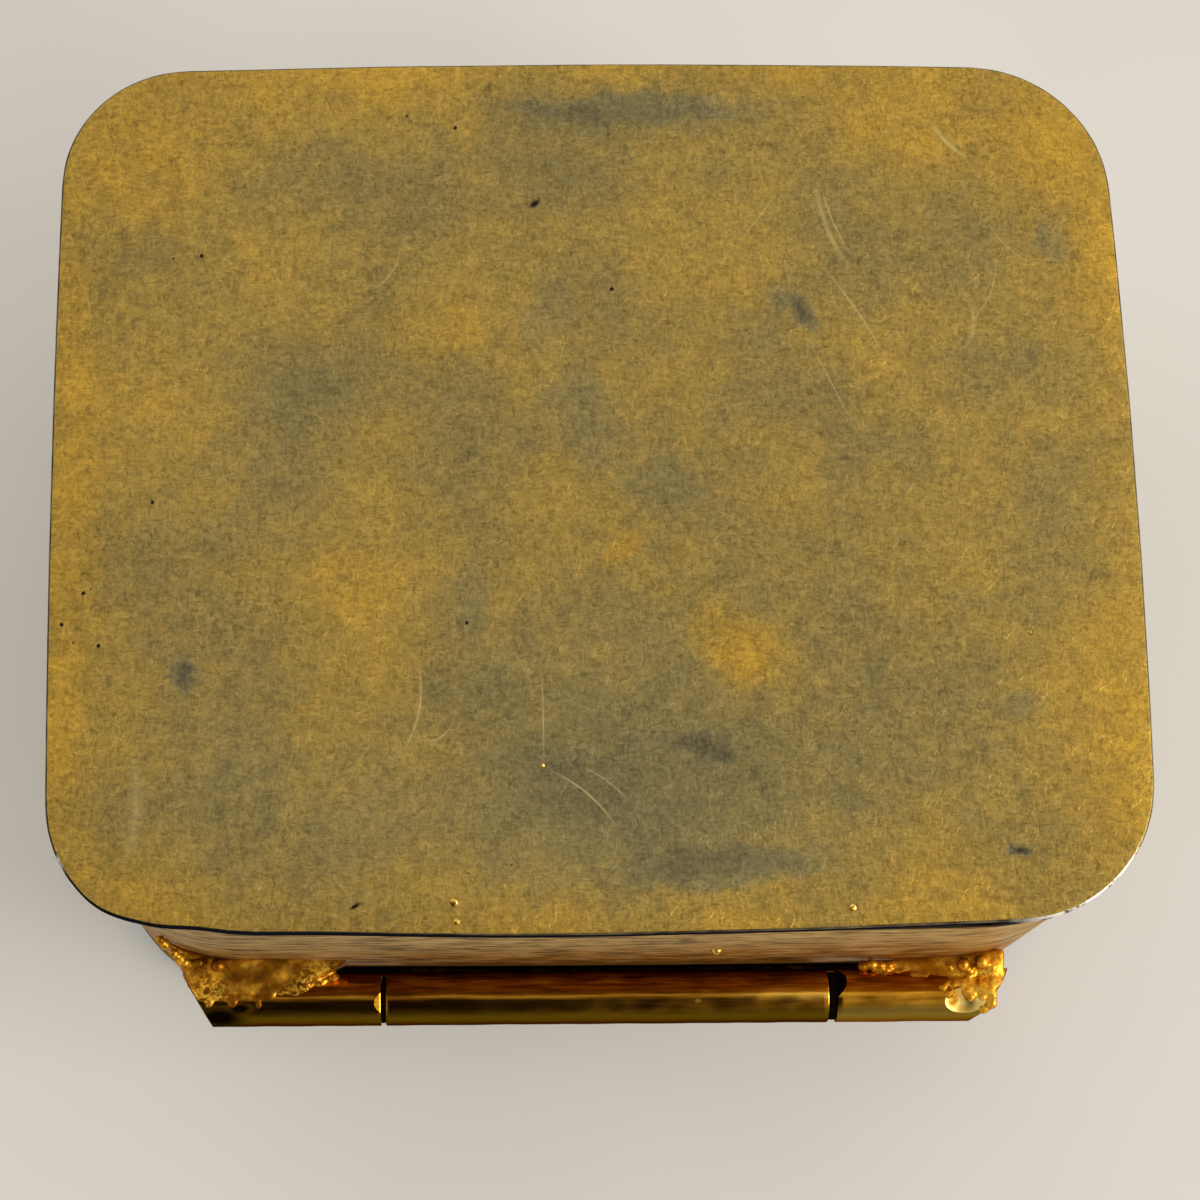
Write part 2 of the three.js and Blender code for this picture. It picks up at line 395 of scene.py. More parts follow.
@dataclass(frozen=True)
class Finish:
    """What a surface is made of and how it was finished."""

    name: str

    def material(self) -> bpy.types.Material:
        """The Blender material, made once.

        Returns:
            The material.
        """
        made = bpy.data.materials.get(self.name)
        if made is None:
            made = bpy.data.materials.new(self.name)
            made.use_nodes = True
            tree = made.node_tree
            tree.nodes.clear()
            shader = add_node(tree, "BsdfPrincipled")
            add_node(tree, "OutputMaterial", {"Surface": shader.outputs["BSDF"]})
            self.paint(tree, shader)
        return made

    def paint(self, tree: Tree, shader: bpy.types.Node) -> None:
        """Fill the tree behind the shader.

        Args:
            tree: the material's nodes.
            shader: its Principled node.
        """
        raise NotImplementedError

    def patch(self, tree: Tree, vector: Socket, mark: Mark) -> Socket:
        """A mask that is whole in a mark's middle and fades to its edge.

        Args:
            tree: the material's nodes.
            vector: the coordinates to read.
            mark: the patch.

        Returns:
            The mask, from 0 to 1.
        """
        placed = add_node(
            tree,
            "Mapping",
            {
                "Vector": vector,
                "Location": (mark.x * MM, mark.y * MM, 0),
                "Rotation": (0, 0, math.radians(mark.turn)),
                "Scale": (mark.long * MM, mark.wide * MM, 1),
            },
            vector_type="TEXTURE",
        )
        round_ = add_node(tree, "TexGradient", {"Vector": placed.outputs[0]}, gradient_type="SPHERICAL")
        faded = add_node(
            tree,
            "MapRange",
            {"Value": round_.outputs["Fac"], "From Max": 0.75},
            interpolation_type="SMOOTHSTEP",
        )
        return faded.outputs[0]


@dataclass(frozen=True)
class MattedGilt(Finish):
    """Gilt brass sheet, matted by years of fine scratching: a dull gold with a short crossing grain,
    rubbed to grey-olive in the middle and still amber along its edges.

    The gilding, from bare metal to whole, is summed from slow patterns and marks and gives the hue. The
    grain only darkens and lightens it.
    """

    half_width: float
    half_depth: float
    marked_above: float = math.inf
    marks: tuple[Mark, ...] = ()
    scratches: tuple[Scratch, ...] = ()
    pitted: tuple[Mark, ...] = ()
    tones: tuple[tuple[float, str], ...] = (
        (0.0, "#4a4433"),
        (0.16, "#655b40"),
        (0.32, "#7c6f48"),
        (0.44, "#8a7846"),
        (0.54, "#987e3f"),
        (0.68, "#a98636"),
        (0.86, "#bd922e"),
    )
    pale: str = "#c9b678"
    black: str = "#1c160c"
    flecks: tuple[Mark, ...] = ()
    # Sizes of the patterns, in mm. The grain is drawn about twice as coarse as it is, to show.
    cloud: float = 9.0
    mottle: float = 1.7
    grain: float = 0.3
    stroke: float = 0.64
    hair: float = 1.5
    pit: float = 1.1
    # How ragged the marks' edges are: the size of the pattern and how far it moves them, in mm
    ragged: tuple[float, float] = (2.4, 3.4)
    # Where the gilding starts, and how much the patterns and the plate's edge add to it
    gilding: float = 0.53
    cloud_gilding: float = 0.44
    mottle_gilding: float = 0.16
    rim_gilding: float = 0.16
    # How much each pattern lightens or darkens the colour
    grain_shade: float = 2.2
    mottle_shade: float = 0.3
    cloud_shade: float = 0.4
    hair_light: float = 0.07
    hair_dark: float = -0.14
    # The share of cells with a speck outside the pitted patches
    strewn: float = 0.06

    def paint(self, tree: Tree, shader: bpy.types.Node) -> None:
        """Colour the gilding, shade it by the grain, and raise the grain and lower the scratches."""
        place = add_node(tree, "TexCoord").outputs["Object"]
        wide = add_node(tree, "TexNoise", {"Vector": place, "Scale": per_mm(self.cloud), "Detail": 3})
        fine = add_node(tree, "TexNoise", {"Vector": place, "Scale": per_mm(self.mottle), "Detail": 5})
        axes = add_node(tree, "SeparateXYZ", {0: place})
        outer = add_node(
            tree, "Math", {0: axes.outputs["Z"], 1: self.marked_above * MM}, operation="GREATER_THAN"
        ).outputs[0]
        level = add_node(tree, "VectorMath", {0: place, 1: (1, 1, 0)}, operation="MULTIPLY")
        turned = {"Vector": level.outputs[0], "Rotation": (0, 0, math.radians(-PLATE_TURN))}
        flat = add_node(tree, "Mapping", turned).outputs[0]
        gilding = self.weighed(
            tree,
            self.gilding - 0.5 * (self.cloud_gilding + self.mottle_gilding),
            [
                (wide.outputs["Fac"], self.cloud_gilding),
                (fine.outputs["Fac"], self.mottle_gilding),
                (self.rim(tree, place), self.rim_gilding),
            ]
            + self.shifts(tree, flat, outer),
        )
        stops = [(stop, linear(colour)) for stop, colour in self.tones]
        colour = add_node(tree, "ValToRGB", {"Fac": gilding}, stops=stops).outputs["Color"]
        grain = self.strokes(tree, place)
        light_hair, dark_hair = self.hairs(tree, place, fine.outputs["Fac"])
        shade = self.weighed(
            tree,
            1 - 0.5 * (self.grain_shade + self.mottle_shade + self.cloud_shade),
            [
                (grain, self.grain_shade),
                (fine.outputs["Fac"], self.mottle_shade),
                (wide.outputs["Fac"], self.cloud_shade),
                (light_hair, self.hair_light),
                (dark_hair, self.hair_dark),
            ],
        )
        colour = add_node(tree, "VectorMath", {0: colour, "Scale": shade}, operation="SCALE").outputs[0]
        height = self.weighed(tree, 0.0, [(grain, 1.0), (light_hair, 0.3), (dark_hair, -0.3)])
        if self.scratches:
            masks = []
            for cut, over in ((self.pits, self.black), (self.lines, self.pale)):
                masks.append(cut(tree, flat, outer))
                inputs = {MIX_FACTOR: masks[-1], MIX_A: colour, MIX_B: linear(over)}
                colour = add_node(tree, "Mix", inputs, data_type="RGBA").outputs[MIX_COLOUR]
            for mask in masks:
                height = add_node(
                    tree, "Math", {0: mask, 1: -1.2, 2: height}, operation="MULTIPLY_ADD"
                ).outputs[0]
        bump = add_node(tree, "Bump", {"Height": height, "Strength": 0.8, "Distance": 0.045 * MM})
        rough = add_node(
            tree,
            "MapRange",
            {"Value": gilding, "From Min": 0.3, "From Max": 0.7, "To Min": 0.56, "To Max": 0.46},
        )
        shader.inputs["Metallic"].default_value = 0.85
        tree.links.new(colour, shader.inputs["Base Color"])
        tree.links.new(rough.outputs[0], shader.inputs["Roughness"])
        tree.links.new(bump.outputs["Normal"], shader.inputs["Normal"])

    def weighed(self, tree: Tree, start: float, terms: Sequence[tuple[Socket, float]]) -> Socket:
        """Sum patterns by weight.

        Args:
            tree: the material's nodes.
            start: the value to add to.
            terms: each pattern with its weight.

        Returns:
            The sum.
        """
        total: Socket | float = start
        for pattern, weight in terms:
            total = add_node(
                tree, "Math", {0: pattern, 1: weight, 2: total}, operation="MULTIPLY_ADD"
            ).outputs[0]
        return total

    def strokes(self, tree: Tree, place: Socket) -> Socket:
        """The grain: short strokes that cross each other, some along X and some along Y.

        Args:
            tree: the material's nodes.
            place: object coordinates.

        Returns:
            The pattern, about one half on average.
        """
        terms = []
        for long, wide in ((self.stroke, self.grain), (self.grain, self.stroke)):
            run = add_node(
                tree,
                "Mapping",
                {"Vector": place, "Scale": (per_mm(long), per_mm(wide), per_mm(self.grain))},
            )
            noise = add_node(
                tree,
                "TexNoise",
                {"Vector": run.outputs[0], "Scale": 1.0, "Detail": 2, "Roughness": 0.5, "Distortion": 1.4},
            )
            terms.append((noise.outputs["Fac"], 0.5))
        return self.weighed(tree, 0.0, terms)

    def hairs(self, tree: Tree, place: Socket, cover: Socket) -> tuple[Socket, Socket]:
        """Masks of two sets of fine curling hairs, which follow the level lines of a noise.

        Args:
            tree: the material's nodes.
            place: object coordinates.
            cover: a pattern that leaves the hairs where it is high.

        Returns:
            The light hairs and the dark ones.
        """
        noise = add_node(
            tree,
            "TexNoise",
            {"Vector": place, "Scale": per_mm(self.hair), "Detail": 1, "Distortion": 0.6},
        )
        parts = add_node(tree, "SeparateColor", {0: noise.outputs["Color"]})
        shown = add_node(tree, "MapRange", {"Value": cover, "From Min": 0.46, "From Max": 0.6})
        masks = []
        for channel in (0, 1):
            off = add_node(tree, "Math", {0: parts.outputs[channel], 1: 0.5}, operation="SUBTRACT")
            away = add_node(tree, "Math", {0: off.outputs[0]}, operation="ABSOLUTE")
            line = add_node(
                tree, "MapRange", {"Value": away.outputs[0], "From Min": 0.016, "From Max": 0.005}
            )
            left = add_node(tree, "Math", {0: line.outputs[0], 1: shown.outputs[0]}, operation="MULTIPLY")
            masks.append(left.outputs[0])
        return masks[0], masks[1]

    def rim(self, tree: Tree, place: Socket) -> Socket:
        """A mask of the plate's edge, where less of the gilding has rubbed off.

        Args:
            tree: the material's nodes.
            place: object coordinates.

        Returns:
            The mask.
        """
        share = add_node(
            tree,
            "VectorMath",
            {0: place, 1: (self.half_width * MM, self.half_depth * MM, 1)},
            operation="DIVIDE",
        ).outputs[0]
        for _ in range(2):
            share = add_node(tree, "VectorMath", {0: share, 1: share}, operation="MULTIPLY").outputs[0]
        reach = add_node(tree, "VectorMath", {0: share, 1: (1, 1, 0)}, operation="DOT_PRODUCT")
        mask = add_node(
            tree, "MapRange", {"Value": reach.outputs["Value"], "From Min": 0.35, "From Max": 1.1}
        )
        return mask.outputs[0]

    def shifts(self, tree: Tree, flat: Socket, outer: Socket) -> list[tuple[Socket, float]]:
        """The masks of the outer face's own marks, with ragged edges.

        Args:
            tree: the material's nodes.
            flat: flat coordinates.
            outer: 1 on the outer face.

        Returns:
            Each mask with its weight in the tone.
        """
        if not self.marks:
            return []
        size, reach = self.ragged
        stray = add_node(
            tree, "TexNoise", {"Vector": flat, "Scale": per_mm(size), "Detail": 5, "Roughness": 0.7}
        )
        moved = add_node(
            tree,
            "VectorMath",
            {0: stray.outputs["Color"], 1: (reach * MM, reach * MM, 0), 2: flat},
            operation="MULTIPLY_ADD",
        )
        middle = add_node(
            tree,
            "VectorMath",
            {0: moved.outputs[0], 1: (reach / 2 * MM, reach / 2 * MM, 0)},
            operation="SUBTRACT",
        )
        found = []
        for mark in self.marks:
            mask = self.patch(tree, middle.outputs[0], mark)
            shown = add_node(tree, "Math", {0: mask, 1: outer}, operation="MULTIPLY")
            found.append((shown.outputs[0], mark.strength))
        return found

    def pits(self, tree: Tree, flat: Socket, outer: Socket) -> Socket:
        """Scatter black specks, thickly in the pitted patches and thinly elsewhere, and add the flecks.

        Args:
            tree: the material's nodes.
            flat: flat coordinates.
            outer: 1 on the outer face.

        Returns:
            A mask of the specks.
        """
        cells = add_node(tree, "TexVoronoi", {"Vector": flat, "Scale": per_mm(self.pit)})
        crowd: Socket | float = self.strewn
        for mark in self.pitted:
            mask = self.patch(tree, flat, mark)
            crowd = add_node(
                tree, "Math", {0: mask, 1: mark.strength, 2: crowd}, operation="MULTIPLY_ADD"
            ).outputs[0]
        drawn = add_node(tree, "Math", {0: cells.outputs["Color"], 1: crowd}, operation="LESS_THAN")
        speck = add_node(
            tree, "MapRange", {"Value": cells.outputs["Distance"], "From Min": 0.15, "From Max": 0.08}
        )
        shown = add_node(
            tree, "Math", {0: speck.outputs[0], 1: drawn.outputs[0]}, operation="MULTIPLY"
        ).outputs[0]
        for fleck in self.flecks:
            mask = self.patch(tree, flat, fleck)
            shown = add_node(
                tree,
                "Math",
                {0: mask, 1: fleck.strength, 2: shown},
                operation="MULTIPLY_ADD",
                use_clamp=True,
            ).outputs[0]
        return add_node(tree, "Math", {0: shown, 1: outer}, operation="MULTIPLY").outputs[0]

    def lines(self, tree: Tree, flat: Socket, outer: Socket) -> Socket:
        """A mask of the scratches, each a bent line that thins out at its ends.

        Args:
            tree: the material's nodes.
            flat: flat coordinates.
            outer: 1 on the outer face.

        Returns:
            The mask.
        """
        found: Socket | float = 0.0
        for line in self.scratches:
            placed = add_node(
                tree,
                "Mapping",
                {
                    "Vector": flat,
                    "Location": (line.x * MM, line.y * MM, 0),
                    "Rotation": (0, 0, math.radians(line.turn)),
                    "Scale": (line.long * MM, line.wide * MM, 1),
                },
                vector_type="TEXTURE",
            )
            axes = add_node(tree, "SeparateXYZ", {0: placed.outputs[0]})
            along = add_node(
                tree, "Math", {0: axes.outputs["X"], 1: axes.outputs["X"]}, operation="MULTIPLY"
            ).outputs[0]
            across = add_node(
                tree, "Math", {0: along, 1: -line.bend, 2: axes.outputs["Y"]}, operation="MULTIPLY_ADD"
            )
            away = add_node(tree, "Math", {0: across.outputs[0]}, operation="ABSOLUTE")
            body = add_node(
                tree, "Math", {0: 1.0, 1: away.outputs[0]}, operation="SUBTRACT", use_clamp=True
            )
            ends = add_node(tree, "Math", {0: 1.0, 1: along}, operation="SUBTRACT", use_clamp=True)
            shape = add_node(tree, "Math", {0: body.outputs[0], 1: ends.outputs[0]}, operation="MULTIPLY")
            found = add_node(
                tree, "Math", {0: shape.outputs[0], 1: line.strength, 2: found}, operation="MULTIPLY_ADD"
            ).outputs[0]
        return add_node(tree, "Math", {0: found, 1: outer}, operation="MULTIPLY", use_clamp=True).outputs[0]


@dataclass(frozen=True)
class WornEdge(Finish):
    """Sheet metal bared along a handled edge: a thin grey line, polished in places, where a painted silvery
    highlight lies on it, and blue-black painted shade on the side towards the wall."""

    # Where the painted shade starts, and where it is full
    clean: float
    fully_shaded: float
    # Polished places, partly painted highlight
    polish_glints: tuple[Mark, ...] = ()
    # How far the upper border of the painted shade drops for each unit along X
    lean: float = 0.0
    # How much of the painted shade is left on the sides away from the hinge, and the Y from and to which it
    # fades
    elsewhere: float = 0.3
    elsewhere_from: float = -19
    hinge_side_from: float = -24
    # Sizes of the patterns, in mm
    blotch: float = 1.4
    rub: float = 0.7
    dark: str = "#4a4030"
    grey: str = "#8c7d58"
    polish_glint_colour: str = "#fffaf0"
    # The colour of the painted shade towards the wall
    edge_shade: str = "#15151b"

    def paint(self, tree: Tree, shader: bpy.types.Node) -> None:
        """Mix dark and grey along the edge, then the painted shade, with the polished places and their
        painted highlights over them.
        """
        place = add_node(tree, "TexCoord").outputs["Object"]
        noise = add_node(tree, "TexNoise", {"Vector": place, "Scale": per_mm(self.blotch), "Detail": 4})
        stops = [(0.38, linear(self.dark)), (0.68, linear(self.grey))]
        colour = add_node(tree, "ValToRGB", {"Fac": noise.outputs["Fac"]}, stops=stops).outputs["Color"]
        axes = add_node(tree, "SeparateXYZ", {0: place})
        lean = add_node(
            tree,
            "Math",
            {0: axes.outputs["X"], 1: self.lean, 2: axes.outputs["Z"]},
            operation="MULTIPLY_ADD",
        )
        # Painted shade: darken the edge's side towards the wall, most on the hinge side
        shade_mask = add_node(
            tree,
            "MapRange",
            {"Value": lean.outputs[0], "From Min": self.clean * MM, "From Max": self.fully_shaded * MM},
        )
        rear = add_node(
            tree,
            "MapRange",
            {
                "Value": axes.outputs["Y"],
                "From Min": self.elsewhere_from * MM,
                "From Max": self.hinge_side_from * MM,
                "To Min": self.elsewhere,
            },
        )
        shade_mask = add_node(tree, "Math", {0: shade_mask.outputs[0], 1: rear.outputs[0]}, operation="MULTIPLY")
        inputs = {MIX_FACTOR: shade_mask.outputs[0], MIX_A: colour, MIX_B: linear(self.edge_shade)}
        colour = add_node(tree, "Mix", inputs, data_type="RGBA").outputs[MIX_COLOUR]
        flat = add_node(tree, "VectorMath", {0: place, 1: (1, 1, 0)}, operation="MULTIPLY")
        fine = add_node(tree, "TexNoise", {"Vector": place, "Scale": per_mm(self.rub), "Detail": 3})
        rubbed = add_node(
            tree,
            "MapRange",
            {"Value": fine.outputs["Fac"], "From Min": 0.38, "From Max": 0.52},
        )
        # Polished places: partly rubbed metal, partly a painted near-white highlight
        for mark in self.polish_glints:
            mask = self.patch(tree, flat.outputs[0], mark)
            shown = add_node(tree, "Math", {0: mask, 1: rubbed.outputs[0]}, operation="MULTIPLY")
            shown = add_node(tree, "Math", {0: shown.outputs[0], 1: mark.strength}, operation="MULTIPLY")
            left = add_node(tree, "Math", {0: 1.0, 1: shown.outputs[0]}, operation="SUBTRACT")
            shade_mask = add_node(tree, "Math", {0: shade_mask.outputs[0], 1: left.outputs[0]}, operation="MULTIPLY")
            inputs = {MIX_FACTOR: shown.outputs[0], MIX_A: colour, MIX_B: linear(self.polish_glint_colour)}
            colour = add_node(tree, "Mix", inputs, data_type="RGBA").outputs[MIX_COLOUR]
        metal = add_node(tree, "MapRange", {"Value": shade_mask.outputs[0], "To Min": 0.85, "To Max": 0.0})
        rough = add_node(tree, "MapRange", {"Value": shade_mask.outputs[0], "To Min": 0.34, "To Max": 0.9})
        shader.inputs["Specular IOR Level"].default_value = 0.0
        tree.links.new(metal.outputs[0], shader.inputs["Metallic"])
        tree.links.new(rough.outputs[0], shader.inputs["Roughness"])
        tree.links.new(colour, shader.inputs["Base Color"])


@dataclass(frozen=True)
class DrawFiled(Finish):
    """Gilt wall, drawn flat with a file on the hinge side: greyish bare metal with level file marks, amber
    gilding left next to the joint line with a painted highlight along the line, painted black shade round
    the hinge and painted shade under the plate's edge. On the other sides the gilding is whole and matt, as
    on the plates."""

    joint: float
    plate_from_joint: float
    half_width: float
    hinge_y: float
    grey: str = "#a48650"
    pink: str = "#c4984f"
    pale: str = "#ccb078"
    scored: str = "#5c4828"
    gilt: str = "#a8680f"
    # Painted highlight along the joint line, where the wall's rounded rim catches the light
    rim: str = "#cf8f38"
    # Colours of the painted shade round the hinge and under the plate's edge
    hinge_shade: str = "#0d0705"
    edge_shade: str = "#17161c"
    matt: tuple[tuple[float, str], ...] = ((0.3, "#6d6140"), (0.5, "#8d7740"), (0.7, "#ab8836"))
    # Size of the matt gilding's clouds, and height and length of its grain, in mm
    matt_cloud: float = 8.0
    matt_grain: tuple[float, float] = (0.25, 0.7)
    # How far below the joint line the painted shade round the hinge is darkest, where round there it starts
    # and is full, and how much it is drawn out up and down the wall
    hinge_shade_drop: float = 3.0
    hinge_shade_reach: tuple[float, float] = (2.6, 2.36)
    hinge_shade_flat: float = 0.45
    # How far below the plate the painted shade under its edge starts and is full, its share on the other
    # sides, and what the hinge side has more
    edge_shade_reach: tuple[float, float] = (1.3, 0.7)
    edge_shade_share: float = 0.35
    edge_shade_more: float = 0.6
    # How much higher the gilding is kept in the deepest file marks and towards the right end, and how far
    # it is rubbed back past the hinge's right end
    kept_in_marks: float = 16.0
    kept_right: float = 9.0
    bared_right: float = 9.0
    # The Y at which the matt gilding starts to give way to the file marks, and at which they are alone
    matt_from: float = -20.0
    filed_from: float = -25.6
    # Height and length of the file's marks, in mm
    marks: tuple[tuple[float, float], ...] = ((1.0, 4.6), (0.52, 2.3), (0.3, 1.3))
    contrast: float = 2.1

    def paint(self, tree: Tree, shader: bpy.types.Node) -> None:
        """Go from amber at the joint line to bare metal to painted shade under the plate, in level streaks.
        """
        place = add_node(tree, "TexCoord").outputs["Object"]
        streak: Socket | float = 0.5 * (1 - self.contrast)
        for height, length in self.marks:
            run = add_node(
                tree,
                "Mapping",
                {"Vector": place, "Scale": (per_mm(length), per_mm(length), per_mm(height))},
            )
            noise = add_node(
                tree, "TexNoise", {"Vector": run.outputs[0], "Scale": 1.0, "Detail": 3, "Distortion": 0.3}
            )
            streak = add_node(
                tree,
                "Math",
                {0: noise.outputs["Fac"], 1: self.contrast / len(self.marks), 2: streak},
                operation="MULTIPLY_ADD",
            ).outputs[0]
        axes = add_node(tree, "SeparateXYZ", {0: place})
        rise = add_node(tree, "Math", {0: axes.outputs["Z"], 1: self.joint * MM}, operation="SUBTRACT")
        away = add_node(tree, "Math", {0: rise.outputs[0]}, operation="ABSOLUTE").outputs[0]
        side = add_node(
            tree,
            "MapRange",
            {
                "Value": axes.outputs["X"],
                "From Min": -self.half_width * MM,
                "From Max": self.half_width * MM,
            },
        )
        inputs = {MIX_FACTOR: side.outputs[0], MIX_A: linear(self.grey), MIX_B: linear(self.pink)}
        colour = add_node(tree, "Mix", inputs, data_type="RGBA").outputs[MIX_COLOUR]

        # Gilding is kept low on the wall, and further up in the deeper file marks and towards the right
        worn = away
        for value, kept in ((streak, self.kept_in_marks), (side.outputs[0], self.kept_right)):
            worn = add_node(
                tree, "Math", {0: value, 1: -kept * MM, 2: worn}, operation="MULTIPLY_ADD"
            ).outputs[0]
        bared = add_node(
            tree,
            "MapRange",
            {
                "Value": axes.outputs["X"],
                "From Min": 0.55 * self.half_width * MM,
                "From Max": 0.85 * self.half_width * MM,
                "To Max": self.bared_right * MM,
            },
        )
        worn = add_node(tree, "Math", {0: worn, 1: bared.outputs[0]}, operation="ADD")
        radius = add_node(
            tree,
            "VectorMath",
            {0: place, 1: (0, self.hinge_y * MM, (self.joint - self.hinge_shade_drop) * MM)},
            operation="SUBTRACT",
        )
        radius = add_node(
            tree, "VectorMath", {0: radius.outputs[0], 1: (0, 1, self.hinge_shade_flat)}, operation="MULTIPLY"
        )
        radius = add_node(tree, "VectorMath", {0: radius.outputs[0]}, operation="LENGTH")
        # Each row is a pattern, where a layer starts to show and where it covers, its share and its colour
        wear = (
            (worn.outputs[0], -3 * MM, -7.5 * MM, 0.9, self.gilt),
            (streak, 0.5, 0.68, 0.7, self.pale),
            (streak, 0.5, 0.34, 0.85, self.scored),
            # The last row is a painted highlight along the joint line
            (away, 1.0 * MM, 0.5 * MM, 0.8, self.rim),
        )
        for value, none, full, share, over in wear:
            colour, _ = self.laid(tree, colour, value, (none, full), share, over)
        rear = add_node(
            tree,
            "MapRange",
            {"Value": axes.outputs["Y"], "From Min": self.matt_from * MM, "From Max": self.filed_from * MM},
        ).outputs[0]
        matt, grain = self.matted(tree, place)
        inputs = {MIX_FACTOR: rear, MIX_A: matt, MIX_B: colour}
        colour = add_node(tree, "Mix", inputs, data_type="RGBA").outputs[MIX_COLOUR]
        # Painted shade lies round the hinge, and under the plate's edge, thinly on the other sides
        edge_shade_share = add_node(
            tree, "Math", {0: rear, 1: self.edge_shade_more, 2: self.edge_shade_share}, operation="MULTIPLY_ADD"
        ).outputs[0]
        top = self.plate_from_joint
        shade_layers = (
            (radius.outputs["Value"], self.hinge_shade_reach[0] * MM, self.hinge_shade_reach[1] * MM, 1.0, self.hinge_shade),
            (away, (top - self.edge_shade_reach[0]) * MM, (top - self.edge_shade_reach[1]) * MM, edge_shade_share, self.edge_shade),
        )
        shade_mask: Socket | float = 0.0
        for value, none, full, share, over in shade_layers:
            colour, mask = self.laid(tree, colour, value, (none, full), share, over)
            shade_mask = add_node(tree, "Math", {0: mask, 1: shade_mask}, operation="MAXIMUM").outputs[0]
        relief = add_node(tree, "Mix", {MIX_FACTOR: rear, 2: grain, 3: streak}).outputs[0]
        deep = add_node(tree, "MapRange", {"Value": rear, "To Min": 0.05 * MM, "To Max": 0.1 * MM})
        bump = add_node(tree, "Bump", {"Height": relief, "Strength": 0.8, "Distance": deep.outputs[0]})
        metal = add_node(tree, "MapRange", {"Value": shade_mask, "To Min": 0.85, "To Max": 0.0})
        rough = add_node(tree, "MapRange", {"Value": shade_mask, "To Min": 0.54, "To Max": 0.95})
        shader.inputs["Specular IOR Level"].default_value = 0.0
        tree.links.new(metal.outputs[0], shader.inputs["Metallic"])
        tree.links.new(rough.outputs[0], shader.inputs["Roughness"])
        tree.links.new(colour, shader.inputs["Base Color"])
        tree.links.new(bump.outputs["Normal"], shader.inputs["Normal"])

    def laid(
        self,
        tree: Tree,
        under: Socket,
        value: Socket,
        reach: tuple[float, float],
        share: Socket | float,
        over: str,
    ) -> tuple[Socket, Socket]:
        """Lay one colour over another where a pattern passes a value.

        Args:
            tree: the material's nodes.
            under: the colour so far.
            value: the pattern.
            reach: where the upper colour starts to show and where it is full.
            share: how much of it shows at most.
            over: the upper colour, as hex.

        Returns:
            The new colour and the mask.
        """
        mask = add_node(
            tree, "MapRange", {"Value": value, "From Min": reach[0], "From Max": reach[1], "To Max": share}
        ).outputs[0]
        inputs = {MIX_FACTOR: mask, MIX_A: under, MIX_B: linear(over)}
        return add_node(tree, "Mix", inputs, data_type="RGBA").outputs[MIX_COLOUR], mask

    def matted(self, tree: Tree, place: Socket) -> tuple[Socket, Socket]:
        """The whole gilding of the other sides.

        Args:
            tree: the material's nodes.
            place: object coordinates.

        Returns:
            Its colour and its grain.
        """
        cloud = add_node(tree, "TexNoise", {"Vector": place, "Scale": per_mm(self.matt_cloud), "Detail": 5})
        high, long = self.matt_grain
        run = add_node(
            tree, "Mapping", {"Vector": place, "Scale": (per_mm(long), per_mm(long), per_mm(high))}
        )
        grain = add_node(
            tree, "TexNoise", {"Vector": run.outputs[0], "Scale": 1.0, "Detail": 2, "Distortion": 1.2}
        ).outputs["Fac"]
        tone = add_node(tree, "Math", {0: grain, 1: 0.35, 2: -0.175}, operation="MULTIPLY_ADD")
        tone = add_node(tree, "Math", {0: tone.outputs[0], 1: cloud.outputs["Fac"]}, operation="ADD")
        stops = [(stop, linear(colour)) for stop, colour in self.matt]
        return add_node(tree, "ValToRGB", {"Fac": tone.outputs[0]}, stops=stops).outputs["Color"], grain


